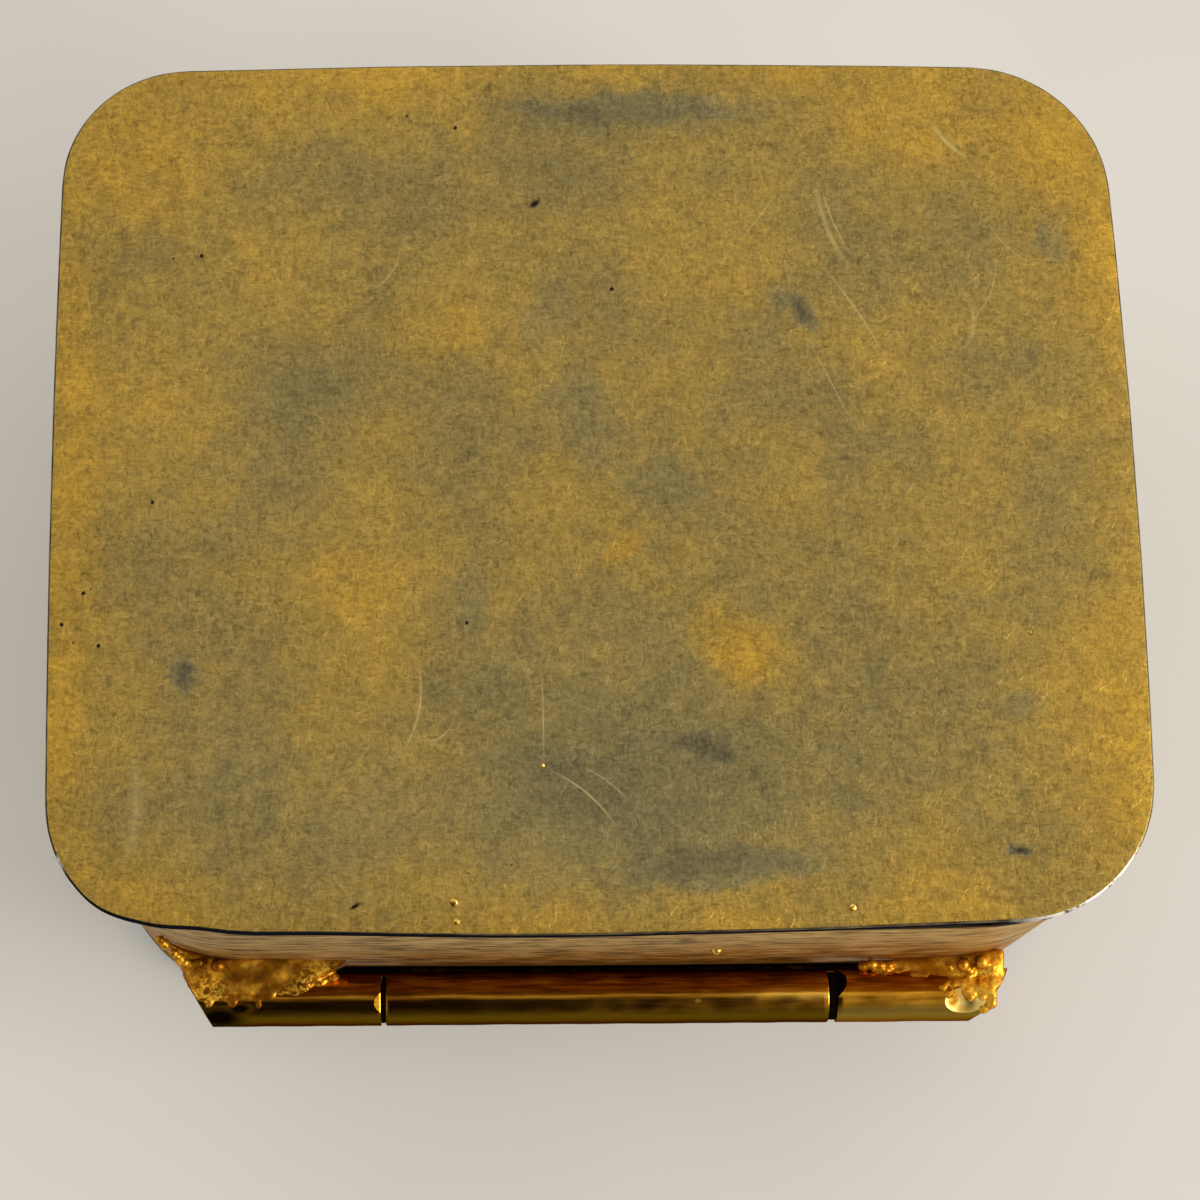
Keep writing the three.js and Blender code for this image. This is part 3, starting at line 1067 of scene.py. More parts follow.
@dataclass(frozen=True)
class PolishedGilt(Finish):
    """Drawn brass tube, gilt and rubbed bright: clear reflections, drawn out along the tube in fine
    streaks, dulled olive brown and rougher on the side away from the wall, with dark stains and painted
    highlights."""

    dulled_from: float
    dulled_to: float
    gold: str = "#b57c22"
    brown: str = "#84500f"
    dull: str = "#66500f"
    stains: tuple[Mark, ...] = ()
    soot: str = "#120b05"
    # Patches laid in the bright colour below are painted highlights
    worn: tuple[Mark, ...] = ()
    bright: str = "#f0b444"
    # Sizes of the patterns, in mm
    cloud: float = 2.5
    streak: float = 0.2
    streak_length: float = 3.6
    rough: tuple[float, float] = (0.16, 0.36)

    def paint(self, tree: Tree, shader: bpy.types.Node) -> None:
        """Tint the gold in streaks along X, with a slight tarnish in clouds."""
        place = add_node(tree, "TexCoord").outputs["Object"]
        across = per_mm(self.streak)
        run = add_node(
            tree, "Mapping", {"Vector": place, "Scale": (per_mm(self.streak_length), across, across)}
        )
        streak = add_node(tree, "TexNoise", {"Vector": run.outputs[0], "Scale": 1.0, "Detail": 3})
        cloud = add_node(tree, "TexNoise", {"Vector": place, "Scale": per_mm(self.cloud), "Detail": 4})
        tarnish = add_node(
            tree, "Math", {0: streak.outputs["Fac"], 1: cloud.outputs["Fac"]}, operation="MULTIPLY"
        )
        stops = [(0.14, linear(self.brown)), (0.34, linear(self.gold))]
        clean = add_node(tree, "ValToRGB", {"Fac": tarnish.outputs[0]}, stops=stops)
        axes = add_node(tree, "SeparateXYZ", {0: place})
        ragged = add_node(
            tree,
            "Math",
            {0: cloud.outputs["Fac"], 1: 0.5 * MM, 2: axes.outputs["Y"]},
            operation="MULTIPLY_ADD",
        )
        dulled = add_node(
            tree,
            "MapRange",
            {
                "Value": ragged.outputs[0],
                "From Min": self.dulled_from * MM,
                "From Max": self.dulled_to * MM,
            },
        )
        inputs = {MIX_FACTOR: dulled.outputs[0], MIX_A: clean.outputs["Color"], MIX_B: linear(self.dull)}
        colour = add_node(tree, "Mix", inputs, data_type="RGBA").outputs[MIX_COLOUR]
        rough = add_node(
            tree, "MapRange", {"Value": dulled.outputs[0], "To Min": self.rough[0], "To Max": self.rough[1]}
        ).outputs[0]
        flat = add_node(tree, "VectorMath", {0: place, 1: (1, 1, 0)}, operation="MULTIPLY")
        uneven = add_node(
            tree, "MapRange", {"Value": cloud.outputs["Fac"], "From Min": 0.25, "From Max": 0.45}
        )
        # The worn patches are painted highlights; the stains are dark marks
        patches = [(mark, self.bright, 0.0) for mark in self.worn]
        patches += [(mark, self.soot, 0.3) for mark in self.stains]
        for mark, over, dulls in patches:
            mask = self.patch(tree, flat.outputs[0], mark)
            shown = add_node(tree, "Math", {0: mask, 1: uneven.outputs[0]}, operation="MULTIPLY").outputs[0]
            inputs = {MIX_FACTOR: shown, MIX_A: colour, MIX_B: linear(over)}
            colour = add_node(tree, "Mix", inputs, data_type="RGBA").outputs[MIX_COLOUR]
            rough = add_node(
                tree, "Math", {0: shown, 1: dulls, 2: rough}, operation="MULTIPLY_ADD"
            ).outputs[0]
        bump = add_node(
            tree, "Bump", {"Height": streak.outputs["Fac"], "Strength": 0.3, "Distance": 0.02 * MM}
        )
        shader.inputs["Metallic"].default_value = 1.0
        shader.inputs["Specular Tint"].default_value = linear(self.brown)
        tree.links.new(colour, shader.inputs["Base Color"])
        tree.links.new(rough, shader.inputs["Roughness"])
        tree.links.new(bump.outputs["Normal"], shader.inputs["Normal"])


@dataclass(frozen=True)
class RoughSolder(Finish):
    """Hard solder, run in with a torch and gilt over: an amber skin in fine crinkles, brown in its hollows
    and rubbed to pale gold on its lumps, where the pale gold also serves as painted highlights."""

    bright: str = "#e0a030"
    amber: str = "#925a10"
    brown: str = "#683c08"
    polished: str = "#ffc23e"
    rubbed: tuple[Mark, ...] = ()
    rough: float = 0.36
    metal: float = 0.7
    # Sizes of the patterns, in mm
    cloud: float = 1.3
    crinkle: float = 0.3
    relief: float = 0.8

    def paint(self, tree: Tree, shader: bpy.types.Node) -> None:
        """Brown the hollows, crinkle the skin and rub the high places bright, which also paints highlights
        on them.
        """
        place = add_node(tree, "TexCoord").outputs["Object"]
        cloud = add_node(tree, "TexNoise", {"Vector": place, "Scale": per_mm(self.cloud), "Detail": 4})
        skin = add_node(
            tree,
            "TexNoise",
            {"Vector": place, "Scale": per_mm(self.crinkle), "Detail": 3, "Distortion": 1.2},
        )
        stops = [(0.34, linear(self.brown)), (0.5, linear(self.amber)), (0.66, linear(self.bright))]
        mixed = add_node(
            tree,
            "Math",
            {0: skin.outputs["Fac"], 1: self.relief, 2: -self.relief / 2},
            operation="MULTIPLY_ADD",
        )
        tone = add_node(tree, "Math", {0: mixed.outputs[0], 1: cloud.outputs["Fac"]}, operation="ADD")
        colour = add_node(tree, "ValToRGB", {"Fac": tone.outputs[0]}, stops=stops).outputs["Color"]
        flat = add_node(tree, "VectorMath", {0: place, 1: (1, 1, 0)}, operation="MULTIPLY")
        ridge = add_node(
            tree, "MapRange", {"Value": skin.outputs["Fac"], "From Min": 0.44, "From Max": 0.62}
        )
        # Pale gold on the ridges in each mark: partly rubbed wear, partly painted highlights
        for mark in self.rubbed:
            mask = self.patch(tree, flat.outputs[0], mark)
            shown = add_node(tree, "Math", {0: mask, 1: mark.strength}, operation="MULTIPLY")
            shown = add_node(tree, "Math", {0: shown.outputs[0], 1: ridge.outputs[0]}, operation="MULTIPLY")
            inputs = {MIX_FACTOR: shown.outputs[0], MIX_A: colour, MIX_B: linear(self.polished)}
            colour = add_node(tree, "Mix", inputs, data_type="RGBA").outputs[MIX_COLOUR]
        bump = add_node(
            tree, "Bump", {"Height": skin.outputs["Fac"], "Strength": self.relief, "Distance": 0.1 * MM}
        )
        shader.inputs["Metallic"].default_value = self.metal
        shader.inputs["Specular Tint"].default_value = linear(self.bright)
        shader.inputs["Roughness"].default_value = self.rough
        tree.links.new(colour, shader.inputs["Base Color"])
        tree.links.new(bump.outputs["Normal"], shader.inputs["Normal"])


@dataclass(frozen=True)
class BrassWire(Finish):
    """Drawn brass wire, dull with grease: a dark yellow, blackened in clouds."""

    brass: str = "#8a7440"
    grease: str = "#2b2112"
    cloud: float = 0.9

    def paint(self, tree: Tree, shader: bpy.types.Node) -> None:
        """Darken the wire in clouds of grease."""
        place = add_node(tree, "TexCoord").outputs["Object"]
        cloud = add_node(tree, "TexNoise", {"Vector": place, "Scale": per_mm(self.cloud), "Detail": 4})
        stops = [(0.35, linear(self.grease)), (0.7, linear(self.brass))]
        colour = add_node(tree, "ValToRGB", {"Fac": cloud.outputs["Fac"]}, stops=stops)
        shader.inputs["Metallic"].default_value = 1.0
        shader.inputs["Roughness"].default_value = 0.4
        tree.links.new(colour.outputs["Color"], shader.inputs["Base Color"])


@dataclass(frozen=True)
class GapShade(Finish):
    """Painted shade: nearly black, crumbly and quite matt, so that it swallows the light, put in the gaps
    between the knuckles and on the broken corner.
    """

    black: str = "#0a0705"
    brown: str = "#1d130a"
    cloud: float = 0.5

    def paint(self, tree: Tree, shader: bpy.types.Node) -> None:
        """Cloud the black with brown and crumble its surface."""
        place = add_node(tree, "TexCoord").outputs["Object"]
        cloud = add_node(tree, "TexNoise", {"Vector": place, "Scale": per_mm(self.cloud), "Detail": 4})
        stops = [(0.4, linear(self.black)), (0.7, linear(self.brown))]
        colour = add_node(tree, "ValToRGB", {"Fac": cloud.outputs["Fac"]}, stops=stops)
        bump = add_node(
            tree, "Bump", {"Height": cloud.outputs["Fac"], "Strength": 0.8, "Distance": 0.1 * MM}
        )
        shader.inputs["Roughness"].default_value = 0.9
        shader.inputs["Specular IOR Level"].default_value = 0.0
        tree.links.new(colour.outputs["Color"], shader.inputs["Base Color"])
        tree.links.new(bump.outputs["Normal"], shader.inputs["Normal"])


@dataclass(frozen=True)
class PalePaper(Finish):
    """Smooth uncoated paper: a flat warm white with a faint unevenness.

    Part of its white is its own light, seen directly and in reflections, which keeps its shadows soft.
    """

    light: str = "#c2bcb3"
    shade: str = "#bab5ac"
    glow: str = "#e0dcd4"
    glow_strength: float = 0.24
    cloud: float = 40.0

    def paint(self, tree: Tree, shader: bpy.types.Node) -> None:
        """Cloud the white a little and let it glow."""
        place = add_node(tree, "TexCoord").outputs["Object"]
        cloud = add_node(tree, "TexNoise", {"Vector": place, "Scale": per_mm(self.cloud), "Detail": 3})
        stops = [(0.3, linear(self.shade)), (0.7, linear(self.light))]
        colour = add_node(tree, "ValToRGB", {"Fac": cloud.outputs["Fac"]}, stops=stops)
        path = add_node(tree, "LightPath")
        seen: Socket | float = 0.0
        for ray in ("Is Camera Ray", "Is Glossy Ray", "Is Transmission Ray"):
            seen = add_node(tree, "Math", {0: path.outputs[ray], 1: seen}, operation="MAXIMUM").outputs[0]
        glow = add_node(tree, "Math", {0: seen, 1: self.glow_strength}, operation="MULTIPLY")
        shader.inputs["Roughness"].default_value = 0.8
        shader.inputs["Specular IOR Level"].default_value = 0.2
        shader.inputs["Emission Color"].default_value = linear(self.glow)
        tree.links.new(colour.outputs["Color"], shader.inputs["Base Color"])
        tree.links.new(glow.outputs[0], shader.inputs["Emission Strength"])


# What the lid's outer face carries, read off the photograph with the fitted camera, in mm from its middle

LID_MARKS = (
    Mark(2, -21, 15, 7, 0, -0.1),
    Mark(0, -12, 12, 8, 0, -0.08),
    Mark(-18.6, 2, 7, 9, 0, -0.06),
    Mark(-20, -20, 14, 8, 0, -0.07),
    Mark(24, 21, 9, 6, 0, 0.03),
    Mark(-26, 20, 9, 7, 0, 0.05),
    Mark(-14.7, -6, 5, 3.6, 20, 0.07),
    Mark(-9.7, 9.7, 4.5, 3.4, 0, 0.07),
    Mark(-2.8, 10.8, 3.8, 2.4, 75, -0.1),
    Mark(-0.6, 4.2, 5.4, 3.0, 112, -0.13),
    Mark(4.0, -0.4, 4.0, 2.4, 165, -0.12),
    Mark(8.0, -10.3, 4.0, 2.9, -35, 0.2),
    Mark(1.4, -4.2, 1.8, 1.2, 40, 0.12),
    Mark(-7.6, -7.0, 2.0, 3.6, 0, -0.12),
    Mark(12.9, 10.3, 1.5, 1.0, 100, -0.34),
    Mark(11.6, 11.4, 1.8, 1.0, 150, -0.15),
    Mark(3.0, 24.0, 15, 2.8, 0, -0.08),
    Mark(3.0, 24.0, 11, 1.3, 0, -0.2),
    Mark(-24.2, -11.7, 1.3, 0.9, 110, -0.34),
    Mark(6.0, -16.1, 3.4, 1.2, -10, -0.2),
    Mark(7.0, -23.4, 8.0, 1.6, 4, -0.2),
    Mark(28.5, 15.1, 1.6, 2.6, 0, -0.14),
    Mark(24.9, -14.0, 1.8, 1.5, 0, -0.14),
    Mark(-31.0, -2.0, 22, 2.2, 90, 0.1),
    Mark(24.1, -22.7, 0.8, 0.45, 20, -0.4),
    Mark(30, 0, 6, 18, 0, -0.07),
    Mark(-24, -15, 9, 9, 0, -0.05),
    Mark(-6, -21, 20, 7, 0, -0.06),
    Mark(4, -19, 26, 10, 0, -0.04),
)
LID_FLECKS = (
    Mark(-3.35, 17.75, 0.55, 0.28, 35, 1.0),
    Mark(-14.4, -25.3, 0.5, 0.2, 30, 1.0),
    Mark(24.1, -22.7, 0.35, 0.2, 20, 0.7),
)
LID_SCRATCHES = (
    Scratch(22.3, 21.7, 1.5, 0.2, -50, 1.0, 0.8),
    Scratch(14.6, 16.0, 3.0, 0.22, -72, 2.0, 0.45),
    Scratch(15.0, 16.4, 2.6, 0.1, -70, 2.5, 0.5),
    Scratch(16.2, 10.6, 3.6, 0.12, -59, -2.0, 0.5),
    Scratch(14.5, 5.8, 3.6, 0.08, -66, 0.0, 0.4),
    Scratch(10.6, 17.0, 2.0, 0.08, 53, 0.5, 0.4),
    Scratch(23.3, 9.5, 2.2, 0.2, 80, 5.0, 0.35),
    Scratch(24.6, 12.0, 2.6, 0.1, 70, 7.0, 0.35),
    Scratch(-10.6, -13.8, 3.2, 0.1, 80, 8.0, 0.45),
    Scratch(-9.6, -15.6, 1.2, 0.1, 20, 6.0, 0.5),
    Scratch(-0.9, -19.0, 2.6, 0.1, -42, -4.0, 0.7),
    Scratch(0.3, -18.3, 1.8, 0.08, -38, -3.0, 0.5),
    Scratch(-3.4, -14.5, 3.2, 0.09, 90, 1.0, 0.4),
    Scratch(25.8, 14.6, 2.4, 0.08, -45, 5.0, 0.4),
    Scratch(-12.0, 13.5, 1.8, 0.07, 60, 8.0, 0.4),
    Scratch(-26.9, -19.5, 3.4, 0.5, 88, 1.0, 0.3),
)
LID_PITTED = (
    Mark(-9.1, 23.3, 4.5, 3.0, 0, 0.6),
    Mark(-26.1, 14.9, 4.0, 3.0, 0, 0.5),
    Mark(-30.7, -8.8, 2.4, 5.0, 0, 0.7),
    Mark(-7.5, -6.5, 3.0, 4.0, 0, 0.5),
)
# Polished places on the lid's edge: partly rubbing, partly painted highlight
LID_POLISH_GLINTS = (
    Mark(28.6, -25.4, 6.5, 3.0, 30, 1.0),
    Mark(-31.3, -23.0, 1.0, 1.0, 0, 0.9),
)


# Sub-assemblies


@dataclass
class Tray:
    """One half of the box: a plate soldered to a wall, with a bead of solder round its inner corner."""

    body: Body
    plate_finishes: tuple[Finish, Finish]
    wall_finishes: tuple[Finish, Finish]
    solder: Finish
    outer_round: float = 0.2
    inner_round: float = 0.08
    rim_round: float = 0.14
    facet_round: float = 0.5
    sheet_wave: float = 0.05
    wave_width: float = 11
    grid: float = 1.6
    bead_voxel: float = 0.2
    bead_swell: float = 0.25
    bead_lump: float = 1.3
    # Where the hinge-side edge is filed back: a place along X, by how much, and how far the filing fades
    filed_back: tuple[tuple[float, float, float], ...] = ()

    def build(self) -> None:
        """Model the plate, the wall and the bead."""
        self.plate()
        self.wall()
        self.bead()

    def node(self, piece: str) -> str:
        """The name of this half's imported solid."""
        return f"{self.body.value}_{piece}"

    def ease_corners(self, piece: Piece) -> None:
        """In edit mode, round off the facets of the piece's upright corners."""

        def upright(edge: bmesh.types.BMEdge) -> bool:
            """Whether an edge stands upright between two facets."""
            first, second = edge.verts
            turned = edge.calc_face_angle(0) > math.radians(3)
            return turned and (first.co - second.co).xy.length < FINE

        choose_edges(piece, upright)
        bpy.ops.mesh.bevel(offset=self.facet_round * MM, segments=3, affect="EDGES")

    def plate(self) -> None:
        """Round the plate's edges, cut its faces in a grid and let the sheet wave a little."""
        node = self.node("plate")
        low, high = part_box(node)
        outer = high.z if self.body is Body.LID else low.z
        piece = solid_copy(node, self.node("gilt_plate"))
        with editing(piece):
            bpy.ops.mesh.dissolve_limited(angle_limit=math.radians(0.5))
            self.ease_corners(piece)
            for level, radius in ((outer, self.outer_round), (low.z + high.z - outer, self.inner_round)):
                choose_edges(piece, lambda edge: all(abs(v.co.z - level) < 0.01 * MM for v in edge.verts))
                bpy.ops.mesh.bevel(offset=radius * MM, segments=4, affect="EDGES")
            for axis, reach in ((0, (low.x, high.x)), (1, (low.y, high.y))):
                count = round((reach[1] - reach[0]) / (self.grid * MM))
                for step in range(1, count):
                    point, normal = Vector(), Vector()
                    point[axis] = reach[0] + (reach[1] - reach[0]) * step / count
                    normal[axis] = 1
                    bpy.ops.mesh.select_all(action="SELECT")
                    bpy.ops.mesh.bisect(plane_co=point, plane_no=normal)
        for face in piece.data.polygons:
            face.material_index = int(abs(face.normal.z) < 0.9)
        for place, depth, fade in self.filed_back:
            self.file_back(piece, place * MM, depth * MM, fade * MM)
        ripple(piece, self.wave_width, self.sheet_wave, direction="Z")
        smooth(piece)
        dress(piece, self.body, self.plate_finishes, [node])

    def file_back(self, piece: Piece, place: float, depth: float, fade: float) -> None:
        """Ease the plate's hinge-side edge in at one place, fading out to both sides.

        Args:
            piece: the plate.
            place: the X of the place, in metres.
            depth: how far the edge goes in, in metres.
            fade: how far from the place the easing ends, in metres.
        """
        beside = [vertex for vertex in piece.data.vertices if abs(vertex.co.x - place) < MM]
        edge = min(vertex.co.y for vertex in beside)
        for vertex in piece.data.vertices:
            vertex.select = False
        for vertex in beside:
            vertex.select = vertex.co.y < edge + 0.3 * MM
        for kind in (piece.data.edges, piece.data.polygons):
            for part in kind:
                part.select = False
        select_only(piece)
        bpy.ops.object.mode_set(mode="EDIT")
        bpy.ops.transform.translate(
            value=(0, depth, 0),
            use_proportional_edit=True,
            proportional_edit_falloff="SMOOTH",
            proportional_size=fade,
        )
        bpy.ops.object.mode_set(mode="OBJECT")

    def wall(self) -> None:
        """Round the wall's rims, and part its filed outside from its gilt inside."""
        node = self.node("wall")
        piece = solid_copy(node, self.node("filed_wall"))
        with editing(piece):
            self.ease_corners(piece)
            choose_edges(piece, lambda edge: edge.calc_face_angle(0) > math.radians(60))
            bpy.ops.mesh.bevel(offset=self.rim_round * MM, segments=3, affect="EDGES")
        for face in piece.data.polygons:
            face.material_index = int(face.normal.xy.dot(face.center.xy) < -0.2 * face.center.xy.length)
        smooth(piece)
        dress(piece, self.body, self.wall_finishes, [node])

    def bead(self) -> None:
        """Melt the straight bead into a run one."""
        node = self.node("seam_solder")
        piece = solid_copy(node, self.node("run_bead"))
        modify(piece, "REMESH", mode="VOXEL", voxel_size=self.bead_voxel * MM)
        ripple(piece, self.bead_lump, self.bead_swell)
        modify(piece, "SMOOTH", iterations=2)
        smooth(piece, 180)
        dress(piece, self.body, [self.solder], [node])


@dataclass
class Bezel:
    """The band inside the base that stands up into the lid."""

    finish: Finish
    rim_round: float = 0.16

    def build(self) -> None:
        """Round the band's rims."""
        piece = solid_copy("bezel_band", "guide_bezel")
        with editing(piece):
            choose_edges(piece, lambda edge: edge.calc_face_angle(0) > math.radians(60))
            bpy.ops.mesh.bevel(offset=self.rim_round * MM, segments=3, affect="EDGES")
        smooth(piece)
        dress(piece, Body.BASE, [self.finish], ["bezel_band"])


@dataclass
class Hinge:
    """Three knuckles on a pin: the middle one on the base, the outer two on the lid with filed ends."""

    tube: Finish
    # A lighter copy of the tube finish for the right knuckle: painted light, for its brighter reflections
    lit_tube: Finish
    filed: Finish
    # Partly rubbed bright, partly a painted glint
    rubbed_glint_corner: Finish
    wire: Finish
    # Painted shade: the black stuff in the gaps between the knuckles and on the broken corner
    grease: Finish
    # How far the filed ends are from square, in degrees
    left_slant: float = 31
    right_slant: float = 31
    bore_clearance: float = 0.08
    edge_round: float = 0.12
    # How wide and deep the dents are, and how wide the rings are that the tube is cut into for them
    dent: float = 2.6
    dent_depth: float = 0.07
    ring: float = 0.4
    # The right knuckle's filed hollow: its place round the tube and from the end, its curve and its depth
    scoop_turn: float = 20
    scoop_end: float = 3.0
    scoop_radius: float = 2.4
    scoop_depth: float = 0.36
    # Its filed corner: how far in that starts, and the way that the waste lies
    corner_run: float = 0.6
    corner_way: tuple[float, float, float] = (0.5, -0.866, 0)
    # Its broken corner: its place from the other end and round the tube, and the way that the waste lies
    nick: float = 0.65
    nick_turn: float = -30
    nick_way: tuple[float, float, float] = (-0.5, 0.43, 0.75)
    # The left knuckle's rubbed corner: its place round the tube, how far in it starts, and its lean
    rubbed_turn: float = 14
    rubbed_run: float = 0.44
    rubbed_lean: float = 17
    pin_dome: float = 0.2
    # The black collars of painted shade between the knuckles: their radius, rounding and clearance
    grease_radius: float = 1.5
    grease_round: float = 0.06
    grease_clearance: float = 0.04

    def build(self) -> None:
        """Model the pin and the three knuckles."""
        self.pin()
        self.knuckle("hinge_knuckle_centre", "centre_knuckle", Body.BASE, None, 0)
        self.knuckle("hinge_knuckle_left", "left_knuckle", Body.LID, Hand.LEFT, self.left_slant)
        self.knuckle("hinge_knuckle_right", "right_knuckle", Body.LID, Hand.RIGHT, self.right_slant)

    def rod(self, name: str, low: Vector, high: Vector, radius: float, spare: float) -> Piece:
        """A bar along X that fills a box lengthways.

        Args:
            name: the bar's name.
            low: the lowest corner of its box.
            high: the highest corner of its box.
            radius: its radius, in metres.
            spare: how much longer it is at each end, in metres.

        Returns:
            The bar, with its place in its mesh.
        """
        return rod_along_x(name, (low + high) / 2, radius, high.x - low.x + 2 * spare)

    def file_end(self, bar: Piece, low: Vector, high: Vector, hand: Hand, slant: float) -> None:
        """Cut one end of a bar off on a slant that leaves it longest next to the wall.

        Args:
            bar: the bar.
            low: the lowest corner of its solid.
            high: the highest corner of its solid.
            hand: which end.
            slant: the angle from square, in degrees.
        """
        turn = math.radians(slant)
        tip = Vector((low.x if hand is Hand.LEFT else high.x, high.y, 0))
        normal = Vector((hand.value * math.cos(turn), -math.sin(turn), 0))
        cut_off(bar, (tip, normal))

    def about(self, low: Vector, high: Vector, x: float, turn: float, reach: float) -> Vector:
        """A point beside a knuckle.

        Args:
            low: the lowest corner of its solid.
            high: the highest corner of its solid.
            x: the place along the hinge, in metres.
            turn: the angle from straight up, towards the outside, in degrees.
            reach: the distance from the hinge's axis, in metres.

        Returns:
            The point.
        """
        middle = (low + high) / 2
        turned = math.radians(turn)
        return Vector((x, middle.y - math.sin(turned) * reach, middle.z + math.cos(turned) * reach))

    def scoop(self, bar: Piece, low: Vector, high: Vector) -> None:
        """File a hollow and a rounded corner at the right end, and break the corner at its other end.

        Args:
            bar: the right knuckle, whose hollow gets the second material and whose broken corner gets the
                third, a black painted shade.
            low: the lowest corner of its solid.
            high: the highest corner of its solid.
        """
        radius = (high.z - low.z) / 2
        outer_end = high.x - 2 * radius * math.tan(math.radians(self.right_slant))
        turned = Vector((outer_end - self.corner_run * MM, low.y, 0))
        broken = Vector(self.nick_way).normalized()
        corner = self.about(low, high, low.x + self.nick * MM, self.nick_turn, radius)
        cut_off(bar, (turned, Vector(self.corner_way)), (corner, broken))
        reach = radius + (self.scoop_radius - self.scoop_depth) * MM
        place = self.about(low, high, high.x - self.scoop_end * MM, self.scoop_turn, reach)
        bpy.ops.object.select_all(action="DESELECT")
        bpy.ops.mesh.primitive_ico_sphere_add(subdivisions=5, radius=self.scoop_radius * MM, location=place)
        file = bpy.context.view_layer.objects.active
        modify(bar, "BOOLEAN", object=file, operation="DIFFERENCE", solver="EXACT")
        bpy.data.objects.remove(file)
        for face in bar.data.polygons:
            inward = place - face.center
            near = inward.length < (self.scoop_radius + 0.01) * MM
            hollow = near and face.normal.dot(inward.normalized()) > 0.97
            face.material_index = 1 if hollow else 2 * int(face.normal.dot(broken) > FACES_ALIKE)

    def rub(self, bar: Piece, low: Vector, high: Vector) -> None:
        """Rub the corner at a knuckle's right end bright on its outside: a flat facet whose brighter gold
        is partly rubbing and partly a painted glint.

        Args:
            bar: the knuckle, whose rubbed corner gets the second material.
            low: the lowest corner of its solid.
            high: the highest corner of its solid.
        """
        point = self.about(low, high, high.x - self.rubbed_run * MM, self.rubbed_turn, (high.z - low.z) / 2)
        axis = self.about(low, high, 0, 0, 0)
        outward = (self.about(low, high, 0, self.rubbed_turn, 1) - axis).normalized()
        lean = math.radians(self.rubbed_lean)
        normal = outward * math.cos(lean) + Vector((math.sin(lean), 0, 0))
        cut_off(bar, (point, normal))
        for face in bar.data.polygons:
            face.material_index = int(face.normal.dot(normal) > FACES_ALIKE)

    def batter(self, bar: Piece, start: float, end: float) -> None:
        """Cut a bar into rings and dent it a little all over.

        Args:
            bar: the bar.
            start: its lowest X, in metres.
            end: its highest X, in metres.
        """
        rings = round((end - start) / (self.ring * MM))
        for number in range(1, rings):
            place = Vector((start + (end - start) * number / rings, 0, 0))
            with editing(bar):
                bpy.ops.mesh.bisect(plane_co=place, plane_no=(1, 0, 0), threshold=FINE)
        ripple(bar, self.dent, self.dent_depth)

    def knuckle(self, node: str, name: str, body: Body, hand: Hand | None, slant: float) -> None:
        """Bore one knuckle, file its end and ease its edges.

        Args:
            node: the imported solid.
            name: the piece's name.
            body: the half that it moves with.
            hand: which end is filed, if any.
            slant: how far that end is from square, in degrees.
        """
        low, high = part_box(node)
        pin_low, pin_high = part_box("hinge_pin")
        piece = self.rod(name, low, high, (high.z - low.z) / 2, 0)
        self.batter(piece, low.x, high.x)
        if hand is not None:
            self.file_end(piece, low, high, hand, slant)
        finishes = [self.tube]
        if hand is Hand.RIGHT:
            finishes = [self.lit_tube, self.filed, self.grease]
            # The scoop paints the broken corner's faces black, as shade
            self.scoop(piece, low, high)
        elif hand is Hand.LEFT:
            finishes = [self.tube, self.rubbed_glint_corner]
            self.rub(piece, low, high)
        bore = self.rod("bore", low, high, (pin_high.z - pin_low.z) / 2 + self.bore_clearance * MM, MM)
        modify(piece, "BOOLEAN", object=bore, operation="DIFFERENCE", solver="EXACT")
        bpy.data.objects.remove(bore)
        ease_edges(piece, self.edge_round, 3, 50)
        smooth(piece)
        with editing(piece, "DESELECT"):
            choose_edges(piece, lambda edge: len({face.material_index for face in edge.link_faces}) > 1)
            bpy.ops.mesh.mark_sharp()
        modify(piece, "WEIGHTED_NORMAL", keep_sharp=True)
        dress(piece, body, finishes, [node])

    def pin(self) -> None:
        """Cut the pin to its slanted ends, dome them a little, and fill the gaps between the knuckles with
        black collars of painted shade.
        """
        low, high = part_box("hinge_pin")
        piece = self.rod("pin_wire", low, high, (high.z - low.z) / 2, 0)
        self.file_end(piece, low, high, Hand.LEFT, self.left_slant)
        self.file_end(piece, low, high, Hand.RIGHT, self.right_slant)
        ease_edges(piece, self.pin_dome, 3, 40)
        collars = []
        knuckles = ("hinge_knuckle_left", "hinge_knuckle_centre", "hinge_knuckle_right")
        for before, after in zip(knuckles, knuckles[1:]):
            start, end = low.copy(), high.copy()
            start.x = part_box(before)[1].x + self.grease_clearance * MM
            end.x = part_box(after)[0].x - self.grease_clearance * MM
            collar = self.rod("grease", start, end, self.grease_radius * MM, 0)
            ease_edges(collar, self.grease_round, 2, 40)
            collar.data.materials.append(self.wire.material())
            collar.data.materials.append(self.grease.material())
            for face in collar.data.polygons:
                face.material_index = 1
            collars.append(collar)
        select_only(piece, *collars)
        bpy.ops.object.join()
        smooth(piece)
        dress(piece, Body.LID, [self.wire, self.grease], ["hinge_pin"])


@dataclass(frozen=True)
class Lump:
    """A blob of solder or gilding: its middle and its radius."""

    x: float
    y: float
    z: float
    radius: float

    def ball(self) -> Piece:
        """Add the blob as a small sphere."""
        bpy.ops.object.select_all(action="DESELECT")
        place = (self.x * MM, self.y * MM, self.z * MM)
        bpy.ops.mesh.primitive_ico_sphere_add(subdivisions=3, radius=self.radius * MM, location=place)
        return bpy.context.view_layer.objects.active


@dataclass(frozen=True)
class Trail:
    """Blobs of solder strewn along a line over a tube, from one place to another.

    A place is an X and an angle from straight up, towards the outside, in degrees.
    """

    start: tuple[float, float]
    end: tuple[float, float]
    count: int
    radius: float = 0.34
    stand: float = 0.13
    stray: tuple[float, float] = (0.3, 9)


